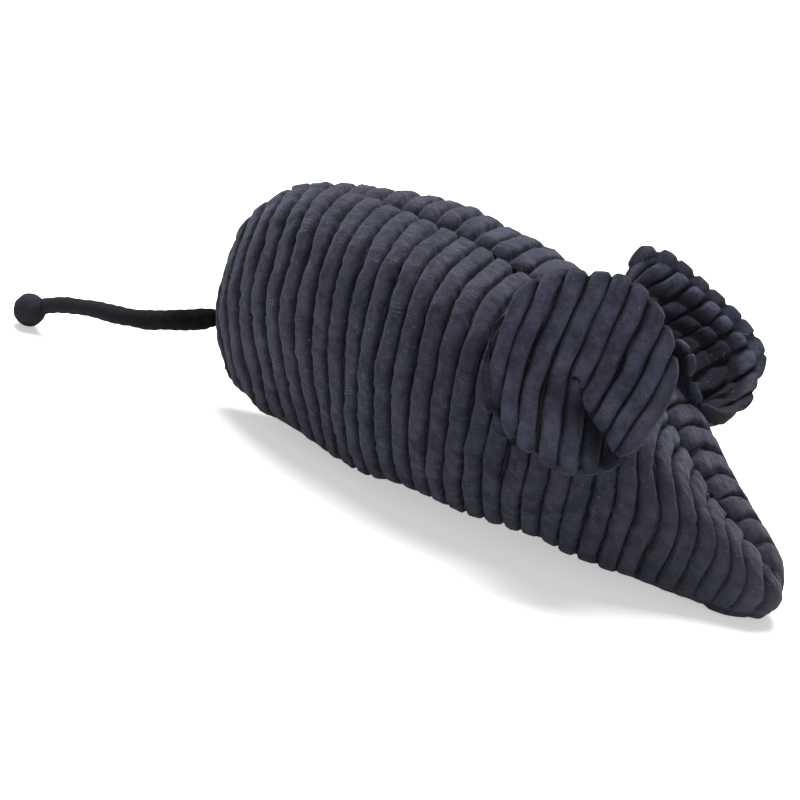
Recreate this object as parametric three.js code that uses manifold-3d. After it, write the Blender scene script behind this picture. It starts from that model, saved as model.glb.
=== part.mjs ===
// A plush catnip mouse of jumbo corduroy, as its separate sewn pieces. Millimetres, +Z up.
// +X points to the nose and +Y to the mouse's left. The origin lies in the flat of the belly,
// on the floor, under the crest of the middle wale.
import * as THREE from "three";
import { mergeVertices } from "three/addons/utils/BufferGeometryUtils.js";
import Module from "manifold-3d";

const wasm = await Module();
wasm.setup();

// Driving sizes of the body
const bodyLength = 135;
const bodyHeight = 55;
const bodyWidth = 53;
const clothThickness = 2.4;
const crestHeight = 1.1; // of a wale's crest over the mean surface
const grooveDepth = 0.7; // of the groove beside it under the mean surface
const seamGap = 1.2; // room between two panels' sewn edges, for the thread
const flatDepth = 0.5; // how far the round belly is flattened where it rests
const softGap = 0.3; // clearance between pieces that touch
const fillingGap = 0.6; // between the filling and the cloth round it

// Driving sizes of the ears
const earRadius = 20.4;
const earClothThickness = 1.8;
const earCrestHeight = 0.6;
const earGrooveDepth = 0.4;
const rightCupDepth = 6;
const rightCupSink = 1.6; // of the cup's bottom behind the ear's middle
const leftCupDepth = 8.8;
const leftCupSink = 6.2;
const rightLapHeight = 2.2; // of the lobe that lies over the other along the fold
const leftLapHeight = 2;
const lapWidth = 8.5;
const rightGullyDepth = 3.2; // of the lobe that the other lies over
const leftGullyDepth = 3;
const gullyWidth = 6.5;
const foldWidth = 5; // over which one lobe steps down to the other
const foldStart = 6.5; // from the cup's bottom to where the fold is fully formed
const leftCurlDepth = 3; // of the left ear's rim, which curls forwards beside its fold
const rightPleatDepth = 3.6; // how far the root is drawn in to the head
const leftRootRise = 5; // the left ear's root is drawn forwards on to the head's side
const pleatReach = 10; // of the pleat, from the root towards the ear's middle
const pleatWidth = 8;
const rootThreadLength = 11;
const rootThreadRadius = 0.6;

// Driving sizes of the tail
const tailCordRadius = 2;
const tailKnotRadius = 3.6;
const tailBendStandOff = 1; // of the middle of the tail's first bend from the back seam
const anchorKnotRadius = 4;
const anchorKnotInset = 13; // of its middle from the back seam

// Driving sizes of the seams' threads
const threadRadius = 0.3;
const threadDepth = 1.3; // under the panels' mean surface
const threadClearance = 1.5; // of a thread's end from the tail and from the next thread

// Driving sizes of the catnip pouch in the middle of the filling
const pouchLength = 32;
const pouchRadius = 8;
const pouchCloth = 0.8;
const pouchNeckLength = 5;
const pouchNeckRadius = 2;
const pouchTieRadius = 0.5;

// Counts and angles
const waleCount = 33; // wales from the back seam's rear end to the nose
const upperSteps = 4;
const lowerSteps = 3;
const bellySteps = 2;
const plainSteps = 18;
const seamSteps = 26;
const threadSides = 4;
const earWaleCount = 9;
const earColumnSteps = 16;
const earOutlineSteps = 144;
const roundSides = 12;
const roundSteps = 8;
const tailSides = 8;
const tailSteps = 6;
const foldDegrees = 40; // how far an ear folds away from the head
const foldSteps = 4;

// Guide lines of the body, given at stations along a side panel, all as shares: along the
// body's length, out to half its width and up to its height
const stationShares = [0, 0.07, 0.17, 0.3, 0.45, 0.6, 0.75, 0.88, 1];
const backSeamShares = {
  along: [-0.007, 0.026, 0.112, 0.247, 0.41, 0.575, 0.715, 0.845, 0.985],
  out: [0, 0, 0, 0, 0, 0, 0, 0, 0],
  up: [0.52, 0.77, 0.95, 0.995, 0.99, 0.89, 0.65, 0.435, 0.2],
};
const sideLineShares = {
  along: [0, 0.035, 0.125, 0.26, 0.425, 0.595, 0.76, 0.89, 1],
  out: [0, 0.23, 0.52, 0.82, 1, 0.95, 0.68, 0.36, 0.2],
  up: [0.295, 0.44, 0.55, 0.58, 0.535, 0.46, 0.39, 0.3, 0.11],
};
const bellySeamShares = {
  along: [0.055, 0.115, 0.2, 0.315, 0.449, 0.593, 0.745, 0.87, 0.982],
  out: [0, 0.11, 0.25, 0.395, 0.46, 0.44, 0.37, 0.27, 0.16],
  up: [0.125, 0.07, 0.05, 0.06, 0.07, 0.065, 0.055, 0.04, 0.015],
};
const firstGrooveShare = 0.4; // of one wale, from the back seam's rear end
const backFullnessShare = 0.62; // below 1 the back is fuller than an ellipse
const noseRoundShare = 0.9; // past this station the sides close round to the nose
const bellyStartShare = 0.09; // the belly panel's two tips, along the wales
const bellyEndShare = 0.975;
const bellySagShare = 0.12; // of half the width: a belly panel wider than this sags to the floor
const slopeShare = 1e-3; // the step over which a surface's slope is taken
const endShare = 0.01; // how near to its ends the surface's slope is taken

// The ears. Each one's middle is given in shares of the body's length, half width and height,
// and its hollow faces one way while its top points another. Its outline is a list of radii in
// shares of the ear's radius, clockwise from the top, about the bottom of its cup, and its
// wales lean from the top by some degrees. One fold runs from the cup's bottom to the rim. The
// root is where the edge is sewn to the head: its stations along the body and round it, the
// direction of its thread, and its place on the ear, about the cup's bottom.
const rightEar = {
  side: -1,
  middleShares: [0.659, -0.843, 0.836],
  facingShares: [0.31, -0.87, 0.37],
  topShares: [-0.23, 0.31, 0.92],
  cupShares: [-0.09, -0.105],
  outlineShares: [1.08, 1.12, 1.045, 0.975, 0.92, 0.965, 0.93, 0.865, 0.85, 0.87, 0.96, 1.06],
  leanDegrees: 14,
  foldDegrees: 150,
  rootShares: [0.72, 0.84],
  rootDirectionShares: [0.68, 0.48, 0.55],
  rootOnEarShares: [0.42, -0.72],
  cupDepth: rightCupDepth,
  cupSink: rightCupSink,
  lapHeight: rightLapHeight,
  gullyDepth: rightGullyDepth,
  curlDepth: 0,
  pleatDepth: rightPleatDepth,
};
const leftEar = {
  side: 1,
  middleShares: [0.652, 1.08, 0.66],
  facingShares: [0.67, 0.02, 0.74],
  topShares: [0, 1, -0.03],
  cupShares: [0.05, 0.1],
  outlineShares: [1.1, 1.155, 1.05, 0.985, 1.075, 1.1, 1.08, 1, 0.975, 1, 1, 0.985],
  leanDegrees: 0,
  foldDegrees: -170,
  rootShares: [0.7, 0.35],
  rootDirectionShares: [0.83, 0, -0.56],
  rootOnEarShares: [0.05, -1],
  cupDepth: leftCupDepth,
  cupSink: leftCupSink,
  lapHeight: leftLapHeight,
  gullyDepth: leftGullyDepth,
  curlDepth: leftCurlDepth,
  pleatDepth: -leftRootRise,
};
const cupPowerShare = 1.45; // 1 is a cone, and 2 a bowl that is round at its bottom
const earEdgeShare = 0.03; // of the ear's width, from its sides to the first and last groove
const curlStartShare = 0.45; // of the ear's radius, from where the rim curls
const curlDegrees = 125;
const mostSteepness = 2; // limits how thick a layer is counted on the fold's step

// The tail's route from its first bend to the end knot, a little to the mouse's right
const tailRoute = [
  [-71.6, 0, 15.1],
  [-75.5, -0.1, 13.4],
  [-79.5, -0.3, 11.9],
  [-83.5, -0.6, 10.5],
  [-87.5, -0.9, 9.6],
  [-91.5, -1.3, 9.1],
  [-95.5, -1.8, 8.7],
  [-98.5, -2.2, 8.1],
  [-101.5, -2.6, 7.4],
  [-104, -2.9, 6.5],
  [-105.9, -3.1, 5.6],
];

// The catnip pouch's place, in shares of the body's length and height
const pouchAlongShare = 0.5;
const pouchUpShare = 0.5;

const corduroy = { color: 0x2f3038, roughness: 0.95, metalness: 0 };
const bellyCorduroy = { color: 0x292a31, roughness: 0.95, metalness: 0 };
const earCorduroy = { color: 0x33343e, roughness: 0.95, metalness: 0 };
const tailCordLook = { color: 0x1b1b1e, roughness: 0.9, metalness: 0 };
const knotLook = { color: 0x35343b, roughness: 0.9, metalness: 0 };
const threadLook = { color: 0x202126, roughness: 0.8, metalness: 0 };
const fibreLook = { color: 0xe9e7e0, roughness: 1, metalness: 0 };
const pouchLook = { color: 0xcfc6ae, roughness: 1, metalness: 0 };
const catnipLook = { color: 0x6d7a3a, roughness: 1, metalness: 0 };

// Places that follow from the sizes
const halfWidth = bodyWidth / 2;
const middleCrestShare = (firstGrooveShare + waleCount / 2) / waleCount;
const originAlong = bodyLength * alongStations(bellySeamShares.along, middleCrestShare);
const farOut = bodyLength + bodyWidth + bodyHeight; // farther than any piece reaches
const tailRoot = guides(0).side;
const tailBend = tailRoot.clone().add(new THREE.Vector3(-tailBendStandOff, 0, 0));
const anchorMiddle = tailRoot.clone().add(new THREE.Vector3(anchorKnotInset, 0, 0));
const pouchMiddle = new THREE.Vector3(
  bodyLength * pouchAlongShare - originAlong,
  0,
  bodyHeight * pouchUpShare,
);

const mouse = new THREE.Group();

// Even steps from one number to another
function evenSteps(from, to, steps) {
  return Array.from({ length: steps + 1 }, (_, i) => from + ((to - from) * i) / steps);
}

// A smooth line through the stations: a cubic between each two, whose slope at a station is
// that of the chord between the stations beside it
function alongStations(values, s) {
  const last = stationShares.length - 1;
  const slope = (i) => {
    const a = Math.max(i - 1, 0);
    const b = Math.min(i + 1, last);
    return (values[b] - values[a]) / (stationShares[b] - stationShares[a]);
  };
  let k = 0;
  while (k < last - 1 && s >= stationShares[k + 1]) k += 1;
  const h = stationShares[k + 1] - stationShares[k];
  const u = (s - stationShares[k]) / h;
  const w = 1 - u;
  const ends = (1 + 2 * u) * w * w * values[k] + u * u * (1 + 2 * w) * values[k + 1];
  return ends + u * w * h * (w * slope(k) - u * slope(k + 1));
}

// The share of their width that the guide lines keep near the nose: a quarter circle
function noseClosing(s) {
  const u = Math.max(0, (s - noseRoundShare) / (1 - noseRoundShare));
  return Math.sqrt(Math.max(0, 1 - u * u));
}

// A guide line's point on the mouse's left, at a share s of the way along the wales
function guidePoint(line, s) {
  return new THREE.Vector3(
    alongStations(line.along, s) * bodyLength - originAlong,
    alongStations(line.out, s) * halfWidth * noseClosing(s),
    alongStations(line.up, s) * bodyHeight,
  );
}

function guides(s) {
  return {
    back: guidePoint(backSeamShares, s),
    side: guidePoint(sideLineShares, s),
    belly: guidePoint(bellySeamShares, s),
  };
}

// A point of the body's left half. s goes from tail to nose, and t goes round one wale: from
// the back seam at 0 over the side line at 1 and the belly seam at 2 to the middle of the
// belly at 3. Each stretch is a quarter of a superellipse between two guide lines.
function bodyPoint(s, t) {
  const { back, side, belly } = guides(s);
  const turn = ((t - Math.floor(t)) * Math.PI) / 2;
  const sine = Math.sin(turn);
  const cosine = Math.cos(turn);
  if (t < 1) {
    return new THREE.Vector3(
      side.x + (back.x - side.x) * cosine,
      side.y * sine ** backFullnessShare,
      side.z + (back.z - side.z) * cosine ** backFullnessShare,
    );
  }
  if (t < 2) {
    return new THREE.Vector3(
      side.x + (belly.x - side.x) * sine,
      belly.y + (side.y - belly.y) * cosine,
      side.z + (belly.z - side.z) * sine,
    );
  }
  const lowered = belly.z - crestHeight + flatDepth;
  const sag = lowered * Math.min(1, belly.y / (bellySagShare * halfWidth));
  const share = t - 2;
  return new THREE.Vector3(
    belly.x,
    belly.y * (1 - share),
    belly.z - sag * Math.sin((share * Math.PI) / 2),
  );
}

// The outward normal of the left half, kept in the middle plane along the plane's edges
function bodyNormal(s, t) {
  const near = Math.min(Math.max(s, endShare), 1 - endShare);
  const round = Math.min(Math.max(t, endShare), 3 - endShare);
  const along = bodyPoint(near + slopeShare, round).sub(bodyPoint(near - slopeShare, round));
  const across = bodyPoint(near, round + slopeShare).sub(bodyPoint(near, round - slopeShare));
  const normal = along.cross(across);
  if (onMiddlePlane(s, t)) normal.y = 0;
  return normal.normalize();
}

function onMiddlePlane(s, t) {
  return s === 0 || s === 1 || t === 0 || t === 3;
}

// The stations of the rows across the body: every groove and crest, and both ends
function waleRows() {
  const rows = [{ s: 0, rib: 0 }];
  for (let k = 0; k < 2 * waleCount; k += 1) {
    const s = (firstGrooveShare + k / 2) / waleCount;
    if (s < 1) rows.push({ s, rib: k % 2 ? crestHeight : -grooveDepth });
  }
  rows.push({ s: 1, rib: 0 });
  return rows;
}

function plainRows() {
  return evenSteps(0, 1, plainSteps).map((s) => ({ s, rib: 0 }));
}

// The whole body's surface, moved out from its mean surface by the ribs and a growth
function bodyGeometry(rows, growth) {
  const columns = [
    ...evenSteps(0, 1, upperSteps),
    ...evenSteps(1, 2, lowerSteps).slice(1),
    ...evenSteps(2, 3, bellySteps).slice(1),
  ];
  const left = rows.map(({ s, rib }) =>
    columns.map((t) => {
      const point = bodyPoint(s, t).addScaledVector(bodyNormal(s, t), rib + growth);
      point.y = onMiddlePlane(s, t) ? 0 : Math.max(point.y, seamGap / 4);
      return point;
    }),
  );
  const right = left.map((row) => row.map((p) => new THREE.Vector3(p.x, -p.y, p.z)));
  return sheetGeometry(left, right, false);
}

// A closed solid between two grids of points, with walls round their edges unless they meet
function sheetGeometry(upper, lower, walled) {
  const positions = [];
  const quad = (a, b, c, d) => {
    [a, b, c, a, c, d].forEach((p) => positions.push(p.x, p.y, p.z));
  };
  const lastRow = upper.length - 1;
  const lastColumn = upper[0].length - 1;
  for (let i = 0; i < lastRow; i += 1) {
    for (let j = 0; j < lastColumn; j += 1) {
      quad(upper[i][j], upper[i + 1][j], upper[i + 1][j + 1], upper[i][j + 1]);
      quad(lower[i][j], lower[i][j + 1], lower[i + 1][j + 1], lower[i + 1][j]);
    }
  }
  for (let i = 0; walled && i < lastRow; i += 1) {
    const j = lastColumn;
    quad(upper[i][0], lower[i][0], lower[i + 1][0], upper[i + 1][0]);
    quad(upper[i][j], upper[i + 1][j], lower[i + 1][j], lower[i][j]);
  }
  for (let j = 0; walled && j < lastColumn; j += 1) {
    const i = lastRow;
    quad(upper[0][j], upper[0][j + 1], lower[0][j + 1], lower[0][j]);
    quad(upper[i][j], lower[i][j], lower[i][j + 1], upper[i][j + 1]);
  }
  const geometry = new THREE.BufferGeometry();
  geometry.setAttribute("position", new THREE.Float32BufferAttribute(positions, 3));
  return geometry;
}

// The volume that a geometry's triangles enclose, negative when they face inwards
function signedVolume(geometry) {
  const corner = (i) => {
    const places = geometry.attributes.position;
    return new THREE.Vector3().fromBufferAttribute(places, geometry.index.array[i]);
  };
  let sum = 0;
  for (let i = 0; i < geometry.index.count; i += 3) {
    sum += corner(i).dot(corner(i + 1).cross(corner(i + 2)));
  }
  return sum;
}

// A closed geometry as a solid for cutting, without collapsed triangles and facing outwards
function solidOf(geometry) {
  const bare = geometry.clone();
  bare.deleteAttribute("normal");
  bare.deleteAttribute("uv");
  const merged = mergeVertices(bare);
  const outwards = signedVolume(merged) > 0;
  const kept = [];
  for (let i = 0; i < merged.index.count; i += 3) {
    const [a, b, c] = merged.index.array.slice(i, i + 3);
    if (a !== b && b !== c && c !== a) kept.push(...(outwards ? [a, b, c] : [a, c, b]));
  }
  const vertProperties = new Float32Array(merged.attributes.position.array);
  const triVerts = new Uint32Array(kept);
  return new wasm.Manifold(new wasm.Mesh({ numProp: 3, vertProperties, triVerts }));
}

function addPiece(name, solid, look) {
  const cut = solid.getMesh();
  const indexed = new THREE.BufferGeometry();
  indexed.setAttribute("position", new THREE.Float32BufferAttribute(cut.vertProperties, 3));
  indexed.setIndex(new THREE.BufferAttribute(new Uint32Array(cut.triVerts), 1));
  const geometry = indexed.toNonIndexed();
  geometry.computeVertexNormals();
  const mesh = new THREE.Mesh(geometry, new THREE.MeshStandardMaterial(look));
  mesh.name = name;
  mouse.add(mesh);
}

// A cut solid without the crumbs that its cuts leave
function largest(solid) {
  return solid.decompose().reduce((a, b) => (a.volume() > b.volume() ? a : b));
}

// A box between two corners
function boxSolid(low, high) {
  const box = new THREE.Box3(new THREE.Vector3(...low), new THREE.Vector3(...high));
  const size = box.getSize(new THREE.Vector3());
  const middle = box.getCenter(new THREE.Vector3());
  const geometry = new THREE.BoxGeometry(size.x, size.y, size.z);
  return solidOf(geometry.translate(middle.x, middle.y, middle.z));
}

// A tube of a round section along a smooth line through points
function tubeSolid(points, radius, sides, steps) {
  const section = new THREE.Shape(
    evenSteps(0, 2 * Math.PI, sides)
      .slice(1)
      .map((a) => new THREE.Vector2(radius * Math.cos(a), radius * Math.sin(a))),
  );
  const extrudePath = new THREE.CatmullRomCurve3(points, false, "centripetal");
  return solidOf(new THREE.ExtrudeGeometry(section, { steps, extrudePath }));
}

function sphereSolid(middle, radius) {
  const geometry = new THREE.SphereGeometry(radius, roundSides, roundSteps);
  return solidOf(geometry.translate(middle.x, middle.y, middle.z));
}

// A straight round rod from one point to another
function rodSolid(from, to, radius) {
  const geometry = new THREE.CylinderGeometry(radius, radius, from.distanceTo(to), roundSides);
  const turn = new THREE.Quaternion().setFromUnitVectors(
    new THREE.Vector3(0, 1, 0),
    to.clone().sub(from).normalize(),
  );
  const middle = from.clone().lerp(to, 1 / 2);
  const unit = new THREE.Vector3(1, 1, 1);
  return solidOf(geometry.applyMatrix4(new THREE.Matrix4().compose(middle, turn, unit)));
}

// The plug that cuts the belly panel out of the body's wall, wider by a spread all round. It
// follows the belly seam and ends inside the body, just over the wall.
function bellyPlug(spread) {
  const stations = evenSteps(bellyStartShare, bellyEndShare, seamSteps);
  const rows = (height) =>
    stations.map((s, i) => {
      const { belly } = guides(s);
      const past = i === 0 ? -spread : i === seamSteps ? spread : 0;
      const corner = (side) =>
        new THREE.Vector3(belly.x + past, side * (belly.y + spread), height(belly.z));
      return [corner(-1), corner(1)];
    });
  const top = rows((z) => z + 2 * clothThickness);
  const bottom = rows(() => -farOut);
  return solidOf(sheetGeometry(top, bottom, true));
}

// The body's wall, opened for the tail, and its three corduroy panels
function addPanels() {
  const floor = boxSolid([-farOut, -farOut, -farOut], [farOut, farOut, 0]);
  const whole = solidOf(bodyGeometry(waleRows(), 0));
  const hollow = solidOf(bodyGeometry(plainRows(), -clothThickness));
  const tailHole = rodSolid(tailBend, anchorMiddle, tailCordRadius + softGap);
  const wall = whole.subtract(hollow).subtract(floor).subtract(tailHole);
  const edge = seamGap / 2;
  const leftSpace = boxSolid([-farOut, edge, -farOut], [farOut, farOut, farOut]);
  const rightSpace = boxSolid([-farOut, -farOut, -farOut], [farOut, -edge, farOut]);
  const sides = wall.subtract(bellyPlug(edge));
  addPiece("side_panel_right", largest(sides.intersect(rightSpace)), corduroy);
  addPiece("side_panel_left", largest(sides.intersect(leftSpace)), corduroy);
  addPiece("belly_panel", largest(wall.intersect(bellyPlug(-edge))), bellyCorduroy);
}

// A point of the thread in the seam of the middle plane
function seamPoint(s, t) {
  const point = bodyPoint(s, t).addScaledVector(bodyNormal(s, t), -threadDepth);
  return new THREE.Vector3(point.x, 0, point.z);
}

// Even steps round the rear end, from where the seam's thread is clear of the tail
function rearSteps(from, to) {
  const clear = tailCordRadius + threadRadius + threadClearance;
  const isClear = (t) => Math.abs(seamPoint(0, t).z - tailBend.z) > clear;
  const start = evenSteps(from, to, 2 * seamSteps).find(isClear);
  return evenSteps(start, to, 3).map((t) => seamPoint(0, t));
}

// The threads in the seams. The back seam's thread stops over the tail, and another goes on
// from under the tail to the belly panel.
function addSeamThreads() {
  const addThread = (name, points) => {
    const solid = tubeSolid(points, threadRadius, threadSides, points.length - 1);
    addPiece(name, solid, threadLook);
  };
  const apart = threadClearance / bodyLength;
  const back = evenSteps(0, 1, seamSteps).slice(1).map((s) => seamPoint(s, 0));
  const nose = evenSteps(0, 2 - endShare, 5).slice(1).map((t) => seamPoint(1, t));
  addThread("stitching_back", [...rearSteps(1, 0), ...back, ...nose]);
  const rump = evenSteps(0, bellyStartShare - apart, 4).slice(1).map((s) => seamPoint(s, 3));
  addThread("stitching_rump", [...rearSteps(1, 2), ...rump]);
  const bellySeam = (side) =>
    evenSteps(bellyStartShare + 2 * apart, bellyEndShare - apart, seamSteps).map((s) => {
      const { belly } = guides(s);
      return new THREE.Vector3(belly.x, side * belly.y, belly.z + threadDepth);
    });
  addThread("stitching_belly_right", bellySeam(-1));
  addThread("stitching_belly_left", bellySeam(1));
}

// A round outline of the catnip pouch, drawn in from its outside: distances from its axis and
// heights, from the bottom to where it meets a neck, or to the top with no neck
function pouchOutline(inset, neckRadius) {
  const radius = pouchRadius - inset;
  const half = pouchLength / 2 - inset;
  const end = Math.PI - Math.asin(neckRadius / radius);
  return evenSteps(0, end, roundSteps).map(
    (a) => new THREE.Vector2(a === Math.PI ? 0 : radius * Math.sin(a), -half * Math.cos(a)),
  );
}

// A turned shape round the pouch's axis, which lies along the body with its neck to the tail
function turnedSolid(outline) {
  const geometry = new THREE.LatheGeometry(outline, roundSides);
  geometry.rotateZ(Math.PI / 2);
  return solidOf(geometry.translate(pouchMiddle.x, pouchMiddle.y, pouchMiddle.z));
}

// The catnip in its pouch, and the thread that ties the pouch's neck
function addPouch() {
  const neckEnd = pouchLength / 2 + pouchNeckLength;
  const neckHollow = pouchNeckRadius - pouchCloth;
  const cloth = [
    ...pouchOutline(0, pouchNeckRadius),
    new THREE.Vector2(pouchNeckRadius, neckEnd),
    new THREE.Vector2(neckHollow, neckEnd),
    ...pouchOutline(pouchCloth, neckHollow).reverse(),
  ];
  addPiece("catnip_pouch", turnedSolid(cloth), pouchLook);
  addPiece("catnip", turnedSolid(pouchOutline(pouchCloth + softGap, 0)), catnipLook);
  const tieRing = pouchNeckRadius + softGap + pouchTieRadius;
  const tie = new THREE.TorusGeometry(tieRing, pouchTieRadius, threadSides, roundSides);
  tie.rotateY(Math.PI / 2);
  const tieAlong = pouchMiddle.x - neckEnd + pouchNeckLength / 2;
  addPiece("pouch_tie", solidOf(tie.translate(tieAlong, 0, pouchMiddle.z)), threadLook);
}

// The room that the pouch and its tied neck take in the filling
function pouchPocket() {
  const reach = pouchLength / 2 + pouchNeckLength + softGap;
  const neckEnd = pouchMiddle.clone().add(new THREE.Vector3(-reach, 0, 0));
  const neckRoom = pouchNeckRadius + 2 * (pouchTieRadius + softGap);
  const room = turnedSolid(pouchOutline(-softGap, 0));
  return room.add(rodSolid(pouchMiddle, neckEnd, neckRoom));
}

// The polyester filling, pushed in as two wads that meet at the pouch's middle
function addFilling() {
  const whole = solidOf(bodyGeometry(plainRows(), -clothThickness - fillingGap));
  const anchorRoom = sphereSolid(anchorMiddle, anchorKnotRadius + softGap);
  const neckRoom = rodSolid(tailBend, anchorMiddle, tailCordRadius + softGap);
  const filling = whole.subtract(pouchPocket()).subtract(anchorRoom).subtract(neckRoom);
  const edge = softGap / 2;
  const rear = boxSolid([-farOut, -farOut, -farOut], [pouchMiddle.x - edge, farOut, farOut]);
  const front = boxSolid([pouchMiddle.x + edge, -farOut, -farOut], [farOut, farOut, farOut]);
  addPiece("filling_rear", largest(filling.intersect(rear)), fibreLook);
  addPiece("filling_front", largest(filling.intersect(front)), fibreLook);
}

// An ear's own directions: across it, to its top and the way that its hollow faces
function earFrame(ear) {
  const facing = new THREE.Vector3(...ear.facingShares).normalize();
  const across = new THREE.Vector3(...ear.topShares).cross(facing).normalize();
  const top = facing.clone().cross(across);
  const [along, out, up] = ear.middleShares;
  const middle = new THREE.Vector3(
    along * bodyLength - originAlong,
    out * halfWidth,
    up * bodyHeight,
  );
  return new THREE.Matrix4().makeBasis(across, top, facing).setPosition(middle);
}

// A share from 0 to 1 that starts and ends level
function easing(share) {
  return THREE.MathUtils.smoothstep(share, 0, 1);
}

// How an ear's fold lifts one lobe and sinks the other, at a distance across it
function foldLift(ear, across) {
  const lap = ear.lapHeight * Math.exp(-((across / lapWidth) ** 2));
  const gully = -ear.gullyDepth * Math.exp(-((across / gullyWidth) ** 2));
  return lap + (gully - lap) * easing(across / foldWidth + 1 / 2);
}

// How high an ear's middle surface lies over its middle at a place about the cup's bottom: a
// cup with its fold and curl, whose pleat at the root is drawn in towards the head
function earHeightAt(ear, place) {
  const slant = place.length();
  const share = slant / earRadius;
  const turn = Math.atan2(place.x, place.y);
  const fold = THREE.MathUtils.degToRad(ear.foldDegrees);
  const past = THREE.MathUtils.euclideanModulo(turn - fold + Math.PI, 2 * Math.PI) - Math.PI;
  const folded = foldLift(ear, past * slant) * easing(slant / foldStart);
  const curling = Math.max(0, Math.cos(turn - THREE.MathUtils.degToRad(curlDegrees)));
  const curled = easing((share - curlStartShare) / (1 - curlStartShare)) ** 2 * curling;
  const root = new THREE.Vector2(...ear.rootOnEarShares).multiplyScalar(earRadius);
  const inwards = root.clone().negate().normalize();
  const from = place.clone().sub(root);
  const along = Math.max(0, from.dot(inwards)) / pleatReach;
  const beside = from.cross(inwards) / pleatWidth;
  const pleat = ear.pleatDepth * Math.exp(-along * along - beside * beside);
  const cup = ear.cupDepth * share ** cupPowerShare - ear.cupSink;
  return cup + folded + ear.curlDepth * curled - pleat;
}

// How much more height a cloth layer takes where the ear's middle surface is steep
function steepnessAt(ear, place) {
  const step = slopeShare * earRadius;
  const rise = (way) => {
    const after = earHeightAt(ear, place.clone().add(way));
    return (after - earHeightAt(ear, place.clone().sub(way))) / (2 * step);
  };
  const slope = Math.hypot(rise(new THREE.Vector2(step, 0)), rise(new THREE.Vector2(0, step)));
  return Math.min(mostSteepness, Math.hypot(1, slope));
}

// An ear's outline about the cup's bottom, turned so that the wales run along y
function earOutline(ear) {
  const points = ear.outlineShares.map((share, i) => {
    const degrees = (360 * i) / ear.outlineShares.length - ear.leanDegrees;
    const turn = THREE.MathUtils.degToRad(degrees);
    return new THREE.Vector3(Math.sin(turn), Math.cos(turn), 0).multiplyScalar(share * earRadius);
  });
  return new THREE.CatmullRomCurve3(points, true).getPoints(earOutlineSteps);
}

// The lowest and highest y of an outline along a wale
function waleEnds(outline, x) {
  const heights = [];
  for (let i = 1; i < outline.length; i += 1) {
    const [a, b] = [outline[i - 1], outline[i]];
    if (a.x !== b.x && (a.x - x) * (b.x - x) <= 0) {
      heights.push(a.y + ((b.y - a.y) * (x - a.x)) / (b.x - a.x));
    }
  }
  return [Math.min(...heights), Math.max(...heights)];
}

// One cloth layer of an ear, in the ear's own directions: its ribs stand on its outer face,
// which looks forwards when side is 1 and backwards when it is -1
function earLayerGeometry(ear, side) {
  const outline = earOutline(ear);
  const low = Math.min(...outline.map((p) => p.x));
  const high = Math.max(...outline.map((p) => p.x));
  const edge = earEdgeShare * (high - low);
  const lean = -THREE.MathUtils.degToRad(ear.leanDegrees);
  const cup = new THREE.Vector2(...ear.cupShares).multiplyScalar(earRadius);
  const grid = (lift) =>
    evenSteps(low + edge, high - edge, 2 * earWaleCount).map((x, i) =>
      evenSteps(...waleEnds(outline, x), earColumnSteps).map((y) => {
        const place = new THREE.Vector2(x, y).rotateAround(new THREE.Vector2(), lean);
        const height = earHeightAt(ear, place) + side * lift(i) * steepnessAt(ear, place);
        return new THREE.Vector3(place.x + cup.x, place.y + cup.y, height);
      }),
    );
  const inner = grid(() => softGap / 2);
  const face = softGap / 2 + earClothThickness;
  const outer = grid((i) => face + (i % 2 ? earCrestHeight : -earGrooveDepth));
  return sheetGeometry(outer, inner, true).applyMatrix4(earFrame(ear));
}

// An ear's hinge: the middle and direction of the thread that sews its root to the head
function earHinge(ear) {
  const place = bodyPoint(...ear.rootShares);
  const lift = crestHeight + softGap + rootThreadRadius;
  place.addScaledVector(bodyNormal(...ear.rootShares), lift);
  place.y *= ear.side;
  const direction = new THREE.Vector3(...ear.rootDirectionShares).normalize();
  return { place, direction };
}

// A turn about an ear's hinge
function turnAbout({ place, direction }, degrees) {
  const angle = THREE.MathUtils.degToRad(degrees);
  return new THREE.Matrix4()
    .makeTranslation(place.x, place.y, place.z)
    .multiply(new THREE.Matrix4().makeRotationAxis(direction, angle))
    .multiply(new THREE.Matrix4().makeTranslation(-place.x, -place.y, -place.z));
}

// An ear's two layers, cut to sit on the head, round the thread of their root and clear of the
// head all the way that they fold
function addEar(name, ear) {
  const hinge = earHinge(ear);
  const rod = (radius, length) => {
    const from = hinge.place.clone().addScaledVector(hinge.direction, -length / 2);
    const to = hinge.place.clone().addScaledVector(hinge.direction, length / 2);
    return rodSolid(from, to, radius);
  };
  const head = bodyGeometry(waleRows(), softGap);
  const heads = evenSteps(0, -foldDegrees, foldSteps).map((degrees) =>
    solidOf(head.clone().applyMatrix4(turnAbout(hinge, degrees))),
  );
  const threadRoom = rod(rootThreadRadius + softGap, rootThreadLength + 2 * softGap);
  const cutLayer = (side) => {
    const layer = solidOf(earLayerGeometry(ear, side)).subtract(threadRoom);
    return largest(heads.reduce((rest, body) => rest.subtract(body), layer));
  };
  addPiece(name + "_outer", cutLayer(-1), earCorduroy);
  addPiece(name + "_inner", cutLayer(1), earCorduroy);
  const thread = rod(rootThreadRadius, rootThreadLength).subtract(heads[0]);
  addPiece(name + "_root_stitches", largest(thread), threadLook);
}

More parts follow.
